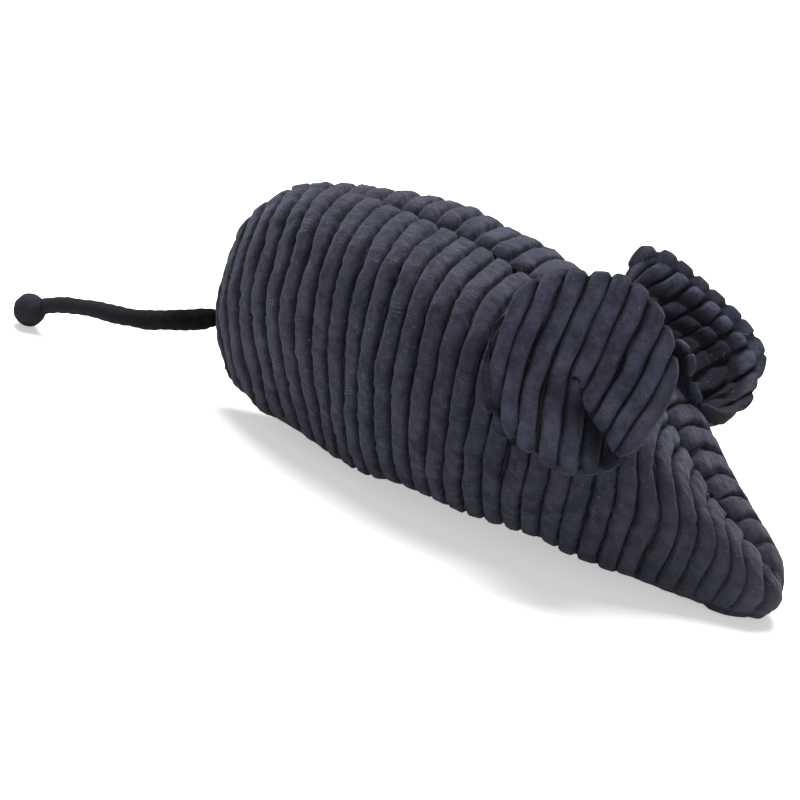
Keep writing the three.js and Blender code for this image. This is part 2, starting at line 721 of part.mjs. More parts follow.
// The tail: a knot that anchors it inside the body, its first bend as a ball in the seam's
// hole, the free cord and the knot at its end, which lies on the floor
function addTail() {
  const bendClear = tailCordRadius + softGap;
  const neckEnd = tailBend.clone().add(new THREE.Vector3(bendClear, 0, 0));
  const neck = rodSolid(neckEnd, anchorMiddle, tailCordRadius);
  const anchor = neck.add(sphereSolid(anchorMiddle, anchorKnotRadius));
  addPiece("tail_anchor", anchor, tailCordLook);
  addPiece("tail_bend", sphereSolid(tailBend, tailCordRadius), tailCordLook);
  const points = tailRoute.map((place) => new THREE.Vector3(...place));
  addPiece("tail_cord", tubeSolid(points, tailCordRadius, tailSides, tailSteps), tailCordLook);
  const end = points[points.length - 1];
  const drop = end.z - tailKnotRadius;
  const past = Math.sqrt((tailKnotRadius + softGap) ** 2 - drop ** 2);
  const knot = new THREE.Vector3(end.x - past, end.y, tailKnotRadius);
  addPiece("tail_knot", sphereSolid(knot, tailKnotRadius), knotLook);
}

addPanels();
addSeamThreads();
addFilling();
addPouch();
addEar("ear_right", rightEar);
addEar("ear_left", leftEar);
addTail();

// Where the moving pieces turn
mouse.userData.hinges = {
  ear_right: earHinge(rightEar),
  ear_left: earHinge(leftEar),
  tail: { place: tailBend },
};

export default mouse;
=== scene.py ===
# %% [markdown]
# # A catnip mouse of jumbo corduroy
# The real toy is sewn from three corduroy panels, stuffed, and given two cupped ears and a cord
# tail with a knot. The solids from the drawing give every place; here each piece gets its wales,
# its seams and its cloth. All lengths are metres, +X points to the nose and +Z up.

import bpy
import numpy as np
from mathutils import Matrix, Vector


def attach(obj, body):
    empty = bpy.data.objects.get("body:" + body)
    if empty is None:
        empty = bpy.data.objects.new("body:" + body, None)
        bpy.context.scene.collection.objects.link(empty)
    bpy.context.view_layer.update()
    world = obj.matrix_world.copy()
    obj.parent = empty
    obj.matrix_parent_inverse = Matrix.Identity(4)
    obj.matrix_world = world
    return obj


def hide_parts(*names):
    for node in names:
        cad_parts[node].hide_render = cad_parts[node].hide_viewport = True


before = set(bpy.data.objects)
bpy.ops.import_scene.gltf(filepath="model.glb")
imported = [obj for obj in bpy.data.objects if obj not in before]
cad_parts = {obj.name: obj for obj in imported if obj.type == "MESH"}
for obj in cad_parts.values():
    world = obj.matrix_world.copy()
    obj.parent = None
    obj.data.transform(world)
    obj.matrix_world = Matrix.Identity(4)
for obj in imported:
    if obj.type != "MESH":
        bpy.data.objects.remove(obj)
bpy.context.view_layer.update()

# %% [markdown]
# ## Camera
# The photograph is a long-lens studio shot from the mouse's right front quarter, a little from
# above, with the camera rolled so that the nose points down to the right. Three unit vectors,
# to the right, up and back from the picture, say the same as angles would and can be checked
# by eye. A long lens a good metre away keeps the flat, catalogue-like perspective.

# %% Camera
AZIMUTH, ELEVATION, ROLL = np.radians([19.8, 21.9, 14.4])
AIM = np.array([-0.0205, -0.0100, 0.0193])
DISTANCE = 1.275
LENS_MM = 278.6
SENSOR_MM = 36.0

level_right = np.array([np.cos(AZIMUTH), np.sin(AZIMUTH), 0])
back = np.array([
    np.sin(AZIMUTH) * np.cos(ELEVATION), -np.cos(AZIMUTH) * np.cos(ELEVATION), np.sin(ELEVATION)
])
level_up = np.cross(back, level_right)
right = np.cos(ROLL) * level_right + np.sin(ROLL) * level_up
up = np.cross(back, right)

lens = bpy.data.cameras.new("photo_lens")
lens.lens = LENS_MM
lens.sensor_width = SENSOR_MM
lens.clip_end = 20
camera = bpy.data.objects.new("photo_camera", lens)
turn = Matrix(np.column_stack([right, up, back]).tolist()).to_4x4()
camera.matrix_world = Matrix.Translation(Vector(AIM + DISTANCE * back)) @ turn
bpy.context.scene.collection.objects.link(camera)
bpy.context.scene.camera = camera
print("camera at", [round(x, 3) for x in camera.matrix_world.translation])

# %% [markdown]
# ## Helpers for meshes
# Every piece below is a grid of points worked out as whole arrays. A cloth piece is two such
# grids, its outer and its inner face, closed by walls round their shared border, so that it has
# a real thickness and no open edge. Where a grid ends in one point, a fan of triangles closes
# it.

# %% Grid helpers
def grid_faces(rows, columns, close_columns=False):
    """Quads between neighbours of a rows by columns grid of numbered points. A quad's corners
    are (i, j), (i+1, j), (i+1, j+1), (i, j+1)."""
    i, j = np.meshgrid(
        np.arange(rows - 1), np.arange(columns if close_columns else columns - 1), indexing="ij"
    )
    after = (j + 1) % columns
    return np.stack(
        [i * columns + j, (i + 1) * columns + j, (i + 1) * columns + after, i * columns + after],
        axis=-1,
    ).reshape(-1, 4)


def wall_faces(outer, inner):
    """Quads that join two lines of point numbers, one on each face of a cloth."""
    return np.stack([outer[:-1], inner[:-1], inner[1:], outer[1:]], axis=-1)


def fan(ring, middle, flip=False):
    """Triangles from a closed ring of point numbers to one middle point, written as quads
    whose last corner is doubled."""
    after = np.roll(ring, -1)
    first, second = (after, ring) if flip else (ring, after)
    apex = np.full(len(ring), middle)
    return np.stack([first, second, apex, apex], axis=-1)


def cloth_solid(outer, inner, cloth, inner_shade=0.0, pole=False):
    """Points, quads and cloth vectors of the closed solid between two grids of the same shape:
    the outer grid, the inner grid turned round, and walls along the border. With a pole, each
    grid's first column is one single point and has no wall. The inner face has the outer one's
    cloth vectors, with the last number times inner_shade."""
    rows, columns = outer.shape[:2]
    number = np.arange(rows * columns).reshape(rows, columns)
    if pole:
        number[:, 0] = 0
    below = number + rows * columns
    quads = grid_faces(rows, columns)
    faces = np.concatenate([
        number.ravel()[quads],
        below.ravel()[quads[:, ::-1]],
        wall_faces(number[:0 if pole else rows, 0], below[:0 if pole else rows, 0]),
        wall_faces(number[::-1, -1], below[::-1, -1]),
        wall_faces(number[0, ::-1], below[0, ::-1]),
        wall_faces(number[-1, :], below[-1, :]),
    ])
    used = np.unique(faces)
    renumber = np.zeros(2 * rows * columns, int)
    renumber[used] = np.arange(len(used))
    points = np.concatenate([outer.reshape(-1, 3), inner.reshape(-1, 3)])
    flat = cloth.reshape(-1, 3)
    values = np.concatenate([flat, flat * [1, 1, inner_shade]])
    return points[used], renumber[faces], values[used]


print("a grid of 3 rows and 4 columns has", len(grid_faces(3, 4)), "quads")

# %% Pieces from points and faces
def facing_out(points, faces):
    """The faces, turned round if they enclose a negative volume. The volume is the sum over
    the quads of corner dot corner cross corner, over six."""
    a, b, c, d = (points[faces[:, k]] for k in range(4))
    volume = np.sum(a * np.cross(b, c)) + np.sum(a * np.cross(c, d))
    return faces if volume > 0 else faces[:, ::-1]


def plain_mesh(name, points, faces):
    """A mesh of faces turned outwards. Quads with a repeated corner become triangles."""
    mesh = bpy.data.meshes.new(name)
    corners = facing_out(points, faces).tolist()
    mesh.from_pydata(points.tolist(), [], [list(dict.fromkeys(f)) for f in corners])
    return mesh


def add_object(name, data):
    """An object at the origin, in the scene's own collection."""
    made = bpy.data.objects.new(name, data)
    bpy.context.scene.collection.objects.link(made)
    return made


def add_piece(name, points, faces, body, replaced, material, cloth=None):
    """A smooth mesh object at the origin that rides on a body and stands for CAD nodes. Cloth
    is a vector that is stored with every point, for the materials to read."""
    mesh = plain_mesh(name, points, faces)
    mesh.polygons.foreach_set("use_smooth", np.ones(len(mesh.polygons), bool))
    if cloth is not None:
        mesh.attributes.new("cloth", "FLOAT_VECTOR", "POINT").data.foreach_set(
            "vector", cloth.astype(np.float32).ravel()
        )
    mesh.materials.append(material)
    mesh.validate()
    mesh.update()
    piece = add_object(name, mesh)
    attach(piece, body)
    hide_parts(*replaced)
    triangles = sum(len(p.vertices) - 2 for p in mesh.polygons)
    print(name, len(points), "points", triangles, "triangles")
    return piece


# %% [markdown]
# A few small formulas come back in nearly every shape. A step that starts and ends softly fades
# one thing into another, and a bell makes a valley or a bump at one place. Ripples, which are a
# few sine waves laid over each other in chance directions, make dents that never repeat and yet
# come out the same on every run. A cubic runs smoothly through known places, and running
# lengths tell how far along a line each point is.

# %% Number helpers
def unit(v):
    """Vectors divided by their lengths."""
    return v / np.maximum(np.linalg.norm(v, axis=-1, keepdims=True), 1e-12)


def smooth_step(x):
    """0 below 0, 1 above 1, and x squared times (3 - 2x) between."""
    x = np.clip(x, 0, 1)
    return x * x * (3 - 2 * x)


def bell(x):
    """1 at 0, falling away to both sides: e to the power of minus x squared."""
    return np.exp(-(x**2))


def ripples(x, y, seed, count=9):
    """A smooth uneven number about 0 for every place: the mean of sine waves with seeded
    directions, lengths and starts, scaled to stay within about one."""
    draw = np.random.default_rng(seed)
    turns = draw.uniform(0, 2 * np.pi, count)
    rates = draw.uniform(0.5, 1.6, count)
    starts = draw.uniform(0, 2 * np.pi, count)
    waves = [
        np.sin(r * (x * np.cos(a) + y * np.sin(a)) + s) for a, r, s in zip(turns, rates, starts)
    ]
    return np.sum(waves, axis=0) / np.sqrt(count) * 0.8


def running_lengths(points):
    """The length of a line of points up to each of them."""
    return np.concatenate([[0], np.cumsum(np.linalg.norm(np.diff(points, axis=0), axis=1))])


def cubic_between(at, values, slopes, where):
    """Values at any places, read from cubics that join each two of the known places at and have
    the known values and slopes there."""
    k = np.clip(np.searchsorted(at, where, side="right") - 1, 0, len(at) - 2)
    h = at[k + 1] - at[k]
    u = (where - at[k]) / h
    if values.ndim > 1:
        h, u = h[..., None], u[..., None]
    w = 1 - u
    ends = (1 + 2 * u) * w * w * values[k] + u * u * (1 + 2 * w) * values[k + 1]
    return ends + u * w * h * (w * slopes[k] - u * slopes[k + 1])


print("a step at a quarter, a half and three quarters:", smooth_step(np.array([0.25, 0.5, 0.75])))

# %% [markdown]
# ## Materials
# A material is a tree of nodes. The recipe below adds each kind of node in one short call that
# takes numbers, colours or other nodes' outputs, so that a finish reads like a list of what the
# maker sees. The same could be done by clicking nodes together, which is harder to read back.

# %% Recipe for materials
class Recipe:
    """A node tree with a short way to add each kind of node that is used here."""

    def __init__(self, tree):
        self.tree = tree

    def feed(self, socket, value):
        """Links an output to an input, or sets a number, a vector or a colour on it."""
        if isinstance(value, bpy.types.NodeSocket):
            self.tree.links.new(value, socket)
        elif socket.type == "RGBA":
            socket.default_value = (*value, 1)
        else:
            socket.default_value = value

    def node(self, kind, **settings):
        """A node whose settings are inputs or, where no input has the name, properties."""
        made = self.tree.nodes.new(kind)
        for key, value in settings.items():
            if key in made.inputs:
                self.feed(made.inputs[key], value)
            else:
                setattr(made, key, value)
        return made

    def noise(self, vector, scale, detail=2.0, roughness=0.5):
        """Soft random spots between 0 and 1."""
        return self.node(
            "ShaderNodeTexNoise", Vector=vector, Scale=scale, Detail=detail, Roughness=roughness
        ).outputs["Fac"]

    def between(self, value, low, high, start=0.0, end=1.0):
        """start up to low, end from high on, and evenly from one to the other between."""
        limits = {"From Min": low, "From Max": high, "To Min": start, "To Max": end}
        return self.node("ShaderNodeMapRange", Value=value, **limits).outputs["Result"]

    def maths(self, operation, *terms):
        """One operation on one to three terms."""
        made = self.node("ShaderNodeMath", operation=operation)
        for socket, term in zip(made.inputs, terms):
            self.feed(socket, term)
        return made.outputs["Value"]

    def parts(self, vector):
        """A vector's three numbers."""
        return self.node("ShaderNodeSeparateXYZ", Vector=vector).outputs[:3]

    def mixed(self, share, first, second, blend="MIX"):
        """One colour laid over another by a share."""
        made = self.node("ShaderNodeMix", data_type="RGBA", blend_type=blend, Factor=share)
        self.feed(made.inputs[6], first)
        self.feed(made.inputs[7], second)
        return made.outputs[2]

    def toned(self, share, *stops):
        """A colour that runs through stops, each a place and a colour."""
        made = self.node("ShaderNodeValToRGB", Fac=share)
        elements = made.color_ramp.elements
        for k, (place, colour) in enumerate(stops):
            stop = elements[k] if k < 2 else elements.new(place)
            stop.position = place
            stop.color = (*colour, 1)
        return made.outputs["Color"]

    def bumped(self, height, strength, distance):
        """Normals tilted by a height."""
        return self.node(
            "ShaderNodeBump", Strength=strength, Distance=distance, Height=height
        ).outputs["Normal"]


def new_material(name):
    """A material, its recipe and its shader."""
    material = bpy.data.materials.new(name)
    material.use_nodes = True
    return material, Recipe(material.node_tree), material.node_tree.nodes["Principled BSDF"]


def dress(recipe, shader, settings):
    """Sets a shader's inputs, by their names."""
    for key, value in settings.items():
        recipe.feed(shader.inputs[key], value)


# %% [markdown]
# Corduroy is a pile cloth: its crests catch the light and its grooves swallow it, and the
# grooves get a darker colour as painted shade. The crests' tufts make a soft sheen, brushed into
# paler and darker patches, with small ladders where the pile was pressed. A few specks of lint
# cling to it, and the lowest few millimetres, which rub on the floor, have a greyer bloom; the
# nose gets the same grey as a painted highlight. Colour and ladders follow the wales, so they
# read a vector that each piece stores at its points: across in wales, along in wales, and a
# shade, the height over the groove with painted shade laid on it in places.

# %% Corduroy
LADDER_RUNGS, LADDER_UNEVEN = 34.0, 9.0
LADDER_PALER = (0.045, 0.046, 0.054)
# Grey of the worn bloom low down, also laid on the nose as a painted highlight
WORN_AND_HIGHLIT_GREY = (0.062, 0.062, 0.073)
LINT = (0.22, 0.23, 0.26)


def corduroy(name, crest, pale, groove_shade, sheen=0.2):
    """Pile cloth with wales, from its three colours: on the crests, on their brushed patches
    and in the grooves, whose darker colour is painted shade."""
    material, recipe, shader = new_material(name)
    cloth = recipe.node("ShaderNodeAttribute", attribute_name="cloth").outputs["Vector"]
    place = recipe.node("ShaderNodeTexCoord").outputs["Object"]
    _, along, height = recipe.parts(cloth)
    x, _, z = recipe.parts(place)

    # Brushed patches, with a breath of violet and of green
    brushed = recipe.toned(recipe.noise(place, 210.0, 5.0, 0.72), (0.38, crest), (0.62, pale))
    tints = recipe.toned(
        recipe.noise(place, 60.0),
        (0.4, (1.06, 0.97, 1.03)), (0.55, (1, 1, 1)), (0.68, (0.9, 1.06, 1.03)),
    )
    tinted = recipe.mixed(1.0, brushed, tints, "MULTIPLY")

    # Ladders: rungs along the wale, only in some spots and only on its top
    spread = recipe.node("ShaderNodeMapping", Vector=cloth, Scale=(1.3, 0.9, 0.0))
    spots = recipe.between(recipe.noise(spread.outputs["Vector"], 1.0), 0.6, 0.68)
    on_top = recipe.between(height, 0.8, 0.95)
    uneven = recipe.maths("MULTIPLY", recipe.noise(cloth, 3.0, 1.0), LADDER_UNEVEN)
    wave = recipe.maths("SINE", recipe.maths("MULTIPLY_ADD", along, LADDER_RUNGS, uneven))
    rungs = recipe.between(wave, 0.35, 0.95)
    pressed = recipe.maths("MULTIPLY", rungs, recipe.maths("MULTIPLY", spots, on_top))
    laddered = recipe.mixed(pressed, tinted, LADDER_PALER, "ADD")

    # Painted groove shade, a worn bloom low down and a painted highlight on the nose, and the lint
    grooved = recipe.mixed(recipe.between(height, 0.22, 0.95), groove_shade, laddered)
    low = recipe.between(z, 0.0005, 0.006, 0.35, 0.0)
    # The nose's share of the grey is a painted highlight
    nose = recipe.between(x, 0.03, 0.06, 0.0, 0.42)
    worn_and_highlit = recipe.mixed(recipe.maths("MAXIMUM", low, nose), grooved, WORN_AND_HIGHLIT_GREY)
    specks = recipe.between(recipe.noise(place, 1500.0, 1.0), 0.72, 0.76, 0.0, 0.3)

    # Tufts, a finer nap and the pressed rungs raise the surface
    nap = recipe.noise(place, 2600.0, 3.0, 0.7)
    tufts = recipe.maths("MULTIPLY_ADD", recipe.noise(place, 760.0, 4.0, 0.7), 1.6, nap)
    dress(recipe, shader, {
        "Base Color": recipe.mixed(specks, worn_and_highlit, LINT),
        "Normal": recipe.bumped(recipe.maths("MULTIPLY_ADD", pressed, 0.3, tufts), 0.8, 0.0004),
        "Roughness": 0.95,
        "Specular IOR Level": 0.12,
        "Sheen Weight": sheen,
        "Sheen Roughness": 0.45,
        "Sheen Tint": (0.62, 0.66, 0.8),
    })
    return material


# %% [markdown]
# The body, the belly and the ears are cut from the same cloth but are lit differently, so each
# has its own shades; the belly's paler colours are painted light against the shade beneath the
# body. The left ear's hollow faces away from the light, so its inside gets a shaded copy of the
# ear's cloth, with hardly any sheen as painted shade and paler crests.

# %% Cloths
BODY_CLOTH = corduroy(
    "body_corduroy", crest=(0.0265, 0.0263, 0.041), pale=(0.0515, 0.052, 0.075),
    groove_shade=(0.0075, 0.0075, 0.012),
)
# The belly's paler colours are painted light against the shade beneath the body
BELLY_CLOTH = corduroy(
    "belly_corduroy", crest=(0.036, 0.036, 0.05), pale=(0.07, 0.07, 0.086),
    groove_shade=(0.007, 0.007, 0.011),
)
EAR_CLOTH = corduroy(
    "ear_corduroy", crest=(0.036, 0.037, 0.06), pale=(0.076, 0.079, 0.117),
    groove_shade=(0.01, 0.01, 0.018),
)
# A shaded copy of the ear's cloth for the left ear's inside: hardly any sheen as painted shade,
# with paler crests
LEFT_EAR_SHADED_CLOTH = corduroy(
    "left_ear_shaded_corduroy", crest=(0.05, 0.051, 0.078), pale=(0.1, 0.104, 0.15),
    groove_shade=(0.006, 0.006, 0.011), sheen=0.03,
)
print("corduroys:", [m.name for m in (BODY_CLOTH, BELLY_CLOTH, EAR_CLOTH, LEFT_EAR_SHADED_CLOTH)])

# %% [markdown]
# The tail is a smooth twisted cord, nearly black at the body and greyer where the end was
# handled. Its mesh stores its own coordinates in the same vector, and the third is the share of
# the way to the knot, which the colour follows. Thread, stuffing, cotton and leaves are all
# fibre: two tones mixed by a tangle that raises the surface too, each at its own scale.

# %% Cord, thread and stuffing materials
def cord_material(name, dark, worn, fuzz):
    """Twisted fibre: dark at the root, worn grey to the end, with fine fibres in the bump."""
    material, recipe, shader = new_material(name)
    cloth = recipe.node("ShaderNodeAttribute", attribute_name="cloth").outputs["Vector"]
    place = recipe.node("ShaderNodeTexCoord").outputs["Object"]
    to_knot = recipe.parts(cloth)[2]
    patches = recipe.maths("MULTIPLY_ADD", recipe.noise(place, 260.0, 3.0), 0.5, to_knot)
    dress(recipe, shader, {
        "Base Color": recipe.toned(patches, (0.3, dark), (1.0, worn)),
        "Normal": recipe.bumped(recipe.noise(place, 2400.0, 3.0, 0.7), 0.6, fuzz),
        "Roughness": 0.9,
        "Specular IOR Level": 0.04,
    })
    return material


def fibre_material(name, dark, pale, scale, distance):
    """Loose or spun fibre: two tones mixed by a noise that also raises the surface."""
    material, recipe, shader = new_material(name)
    place = recipe.node("ShaderNodeTexCoord").outputs["Object"]
    tangle = recipe.noise(place, scale, 5.0, 0.7)
    dress(recipe, shader, {
        "Base Color": recipe.toned(tangle, (0.35, dark), (0.65, pale)),
        "Normal": recipe.bumped(tangle, 0.7, distance),
        "Roughness": 0.9,
        "Specular IOR Level": 0.2,
    })
    return material


TAIL_FIBRE = cord_material(
    "tail_cord_fibre", (0.0035, 0.0035, 0.0042), (0.021, 0.0205, 0.025), 0.0002
)
KNOT_FIBRE = cord_material(
    "knot_fibre", (0.0185, 0.0178, 0.0235), (0.0285, 0.0275, 0.0355), 0.0001
)
THREAD = fibre_material("dark_thread", (0.008, 0.008, 0.011), (0.02, 0.02, 0.026), 3000.0, 0.0001)
STUFFING = fibre_material("white_stuffing", (0.66, 0.64, 0.6), (0.9, 0.89, 0.86), 260.0, 0.001)
POUCH_CLOTH = fibre_material("pouch_cotton", (0.5, 0.45, 0.34), (0.7, 0.64, 0.51), 1500.0, 0.0002)
LEAVES = fibre_material("dried_leaves", (0.07, 0.09, 0.02), (0.24, 0.27, 0.08), 500.0, 0.0008)
print("fibres:", [m.name for m in (TAIL_FIBRE, KNOT_FIBRE, THREAD, STUFFING, POUCH_CLOTH, LEAVES)])

# %% [markdown]
# ## The tail
# The tail is one short length of soft cord, 38 mm from the rear seam to its knot. It leaves the
# seam going down and back, lies along in a slack wave and ends in a round knot on the floor. The
# drawing's route, in metres, is smoothed by a cubic and carries a ring whose radius shrinks to
# the knot, with three low strands wound round it. A curve object with a bevel would be quicker,
# but could carry neither the strands nor the pinch at the seam.

# %% Tail cord
TAIL_ROUTE = np.array([
    (-0.0695, 0, 0.0162), (-0.0716, 0, 0.0151), (-0.0755, -0.0001, 0.0134),
    (-0.0795, -0.0003, 0.0119), (-0.0835, -0.0006, 0.0105), (-0.0875, -0.0009, 0.0096),
    (-0.0915, -0.0013, 0.0091), (-0.0955, -0.0018, 0.0087), (-0.0985, -0.0022, 0.0081),
    (-0.1015, -0.0026, 0.0074), (-0.1040, -0.0029, 0.0065), (-0.1059, -0.0031, 0.0056),
])
TAIL_RADIUS, TAIL_TAPER = 0.00225, 0.0006
SEAM_PINCH, PINCH_SHARE = 0.0003, 0.06
STRAND_TURNS, STRAND_HEIGHT, LUMP_HEIGHT = 5.5, 0.00012, 0.00011


def through_points(points, steps):
    """Points evenly along a smooth line: a cubic between each two, with the slope at a point
    that of the chord between its neighbours, read at even shares of the length."""
    lengths = running_lengths(points)
    slopes = np.gradient(points, lengths, axis=0)
    return cubic_between(lengths, points, slopes, np.linspace(0, lengths[-1], steps))


def tube(centre, radius_at, sides):
    """Rings round a centreline, closed by a fan at each end. radius_at(turn, share) gives each
    point's distance from the line, and the ring's first direction is carried along without
    twist from +Y."""
    ahead = unit(np.gradient(centre, axis=0))
    side = np.broadcast_to([0.0, 1.0, 0.0], ahead.shape)
    side = unit(side - ahead * np.sum(side * ahead, axis=1, keepdims=True))
    over = np.cross(ahead, side)
    turn = np.linspace(0, 2 * np.pi, sides, endpoint=False)
    turns, shares = np.meshgrid(turn, np.linspace(0, 1, len(centre)))
    rings = centre[:, None] + radius_at(turns, shares)[..., None] * (
        np.cos(turns)[..., None] * side[:, None] + np.sin(turns)[..., None] * over[:, None]
    )
    points = np.concatenate([rings.reshape(-1, 3), centre[:1], centre[-1:]])
    cloth = np.stack([turns / (2 * np.pi), shares, shares], axis=-1).reshape(-1, 3)
    ring = np.arange(sides)
    faces = np.concatenate([
        grid_faces(len(centre), sides, close_columns=True),
        fan(ring, len(points) - 2),
        fan(ring + (len(centre) - 1) * sides, len(points) - 1, flip=True),
    ])
    return points, faces, np.concatenate([cloth, [[0, 0, 0]], [[0, 1, 1]]])


def tail_radius(turns, shares):
    """From 2.25 mm beyond the seam, which pinches it to 1.95 mm, down to 1.65 mm at the knot,
    with three low wound strands and an uneven lumpiness."""
    plain = TAIL_RADIUS - TAIL_TAPER * smooth_step(shares * 1.15)
    plain = plain - SEAM_PINCH * (1 - smooth_step(shares / PINCH_SHARE))
    winding = 1.5 * (turns + 2 * np.pi * STRAND_TURNS * shares)
    lumps = LUMP_HEIGHT * ripples(shares * 26, np.cos(turns), 4)
    return plain + STRAND_HEIGHT * np.abs(np.sin(winding)) + lumps


tail_line = through_points(TAIL_ROUTE, 150)
points, faces, cloth = tube(tail_line, tail_radius, 30)
tail_cord = add_piece(
    "tail_cord_twisted", points, faces, "tail", ["tail_cord"], TAIL_FIBRE, cloth
)

# %% [markdown]
# The end knot is a tight ball of the same cord, pressed a little, with the cord's neck running
# into it. It is a sphere whose radius rises in soft turns of cord and swells to the neck.

# %% End knot
KNOT_MIDDLE = np.array([-0.1089, -0.0033, 0.00365])
KNOT_RADIUS = 0.00345
KNOT_WINDING, KNOT_NECK, KNOT_LUMPS = 0.00008, 0.00035, 0.00006
NECK_WAY = unit(TAIL_ROUTE[-1] - KNOT_MIDDLE)


def lumpy_ball(middle, radius_at, rows, columns):
    """A closed ball round a middle. radius_at takes unit directions and gives distances."""
    down = np.linspace(0, np.pi, rows)[1:-1]
    round_it = np.linspace(0, 2 * np.pi, columns, endpoint=False)
    d, r = np.meshgrid(down, round_it, indexing="ij")
    ways = np.stack([np.cos(d), np.sin(d) * np.cos(r), np.sin(d) * np.sin(r)], axis=-1)
    poles = np.array([[1.0, 0, 0], [-1.0, 0, 0]])
    ways = np.concatenate([ways.reshape(-1, 3), poles])
    points = middle + ways * radius_at(ways)[:, None]
    ring = np.arange(columns)
    faces = np.concatenate([
        grid_faces(len(down), columns, close_columns=True),
        fan(ring, len(points) - 2, flip=True),
        fan(ring + (len(down) - 1) * columns, len(points) - 1),
    ])
    return points, faces, ways


def knot_radius(ways):
    """About 3.5 mm, with soft turns of cord and a swelling to the neck."""
    neck = np.clip(ways @ NECK_WAY, 0, 1)
    winding = np.abs(np.sin(2.2 * np.arctan2(ways[:, 1], ways[:, 2]) + 3.2 * ways[:, 0]))
    return (
        KNOT_RADIUS
        + KNOT_WINDING * winding
        + KNOT_NECK * neck**8
        + KNOT_LUMPS * ripples(ways[:, 0] * 9, ways[:, 1] * 9 + ways[:, 2] * 7, 8)
    )


points, faces, ways = lumpy_ball(KNOT_MIDDLE, knot_radius, 48, 64)
points[:, 2] = np.maximum(points[:, 2], 0.0001)
cloth = np.stack([ways[:, 0], ways[:, 1], 0.35 + 0.2 * ways[:, 2]], axis=-1)
tail_knot = add_piece(
    "tail_end_knot", points, faces, "tail", ["tail_knot"], KNOT_FIBRE, cloth
)

# %% [markdown]
# Inside the seam the cord makes its first bend, and a second knot keeps it from pulling out.
# Both are hidden, but they are real pieces, so they are made of the same cord.

# %% Tail bend and anchor
BEND = TAIL_ROUTE[0]
BEND_RADIUS, BEND_STRANDS = 0.00195, 0.00006
ANCHOR_INSET, ANCHOR_RADIUS = 0.013, 0.004
ANCHOR_CORD_RADIUS, ANCHOR_END_RADIUS, ANCHOR_WINDING = 0.0019, 0.0003, 0.00012
ANCHOR_START, ANCHOR_REACH = 0.0024, 0.0047


def bend_radius(ways):
    """The cord's radius, with six low strands round it."""
    return BEND_RADIUS + BEND_STRANDS * np.abs(np.sin(3 * np.arctan2(ways[:, 1], ways[:, 2])))


def anchor_radius(turns, shares):
    """A 2 mm cord that swells to a 4 mm knot round the anchor's middle and ends in its far
    side."""
    along = shares * (ANCHOR_INSET + 0.0023)
    from_middle = along - (ANCHOR_INSET - 0.0014)
    ball = np.sqrt(np.maximum(ANCHOR_RADIUS**2 - from_middle**2, 0))
    cord = np.where(along < ANCHOR_INSET, ANCHOR_CORD_RADIUS, ANCHOR_END_RADIUS)
    winding = ANCHOR_WINDING * np.abs(np.sin(1.5 * turns + 900 * along))
    return np.maximum(ball, cord) + winding


points, faces, ways = lumpy_ball(BEND, bend_radius, 24, 32)
cloth = np.stack([ways[:, 0], ways[:, 1], 0 * ways[:, 2]], axis=-1)
add_piece(
    "tail_first_bend", points, faces, "tail_root", ["tail_bend"], TAIL_FIBRE, cloth
)
anchor_line = np.linspace(
    BEND + [ANCHOR_START, 0, 0], BEND + [ANCHOR_INSET + ANCHOR_REACH, 0, 0], 60
)
points, faces, cloth = tube(anchor_line, anchor_radius, 32)
add_piece(
    "tail_anchor_knot", points, faces, "mouse_body", ["tail_anchor"], TAIL_FIBRE,
    cloth,
)

# %% [markdown]
# ## The body's shape
# Two mirrored side panels and a belly panel make the body. Three guide lines run from tail to
# nose, at the back seam, the side and the belly seam, and the cloth between two of them bulges
# like a quarter of a rounded square. The places along them are shares of the body's length,
# half width and height. They are the drawing's, moved by up to a millimetre and a half where
# the stuffing swells the cloth: at the belly seam, the rump and the blunt nose.

# %% Guide lines
BODY_LENGTH, BODY_WIDTH, BODY_HEIGHT = 0.135, 0.053, 0.055
STATIONS = np.array([0, 0.07, 0.17, 0.3, 0.45, 0.6, 0.75, 0.88, 1])
GUIDES = {
    "back": np.array([
        [-0.007, 0.026, 0.112, 0.247, 0.41, 0.575, 0.713, 0.841, 0.984],
        [0, 0, 0, 0, 0, 0, 0, 0, 0],
        [0.52, 0.775, 0.951, 0.998, 0.987, 0.864, 0.697, 0.44, 0.2],
    ]),
    "side": np.array([
        [0, 0.035, 0.125, 0.26, 0.425, 0.595, 0.76, 0.889, 0.999],
        [0, 0.24, 0.53, 0.82, 1, 0.95, 0.68, 0.36, 0.21],
        [0.295, 0.44, 0.55, 0.58, 0.535, 0.46, 0.39, 0.3, 0.11],
    ]),
    "belly": np.array([
        [0.034, 0.093, 0.198, 0.315, 0.449, 0.593, 0.745, 0.874, 0.99],
        [0, 0.16, 0.29, 0.44, 0.45, 0.44, 0.42, 0.345, 0.22],
        [0.115, 0.072, 0.067, 0.053, 0.072, 0.085, 0.05, 0.041, 0.034],
    ]),
}
WALES = 33
FIRST_GROOVE = 0.4
NOSE_ROUND = 0.94
BACK_FULLNESS = 0.62
CREST, GROOVE = 0.001, 0.0011
CLOTH = 0.0024
BELLY_POINT, BELLY_POINT_LENGTH = 0.06, 0.05
BELLY_SAG, BELLY_RISE = 0.12, 0.0005


def along_stations(values, s):
    """A cubic between each two stations, whose slope at a station is that of the chord between
    the stations beside it."""
    count = np.arange(len(STATIONS))
    before, after = np.maximum(count - 1, 0), np.minimum(count + 1, count[-1])
    slopes = (values[after] - values[before]) / (STATIONS[after] - STATIONS[before])
    return cubic_between(STATIONS, values, slopes, s)


ORIGIN_ALONG = BODY_LENGTH * along_stations(
    GUIDES["belly"][0], np.array([(FIRST_GROOVE + WALES / 2) / WALES])
)[0]


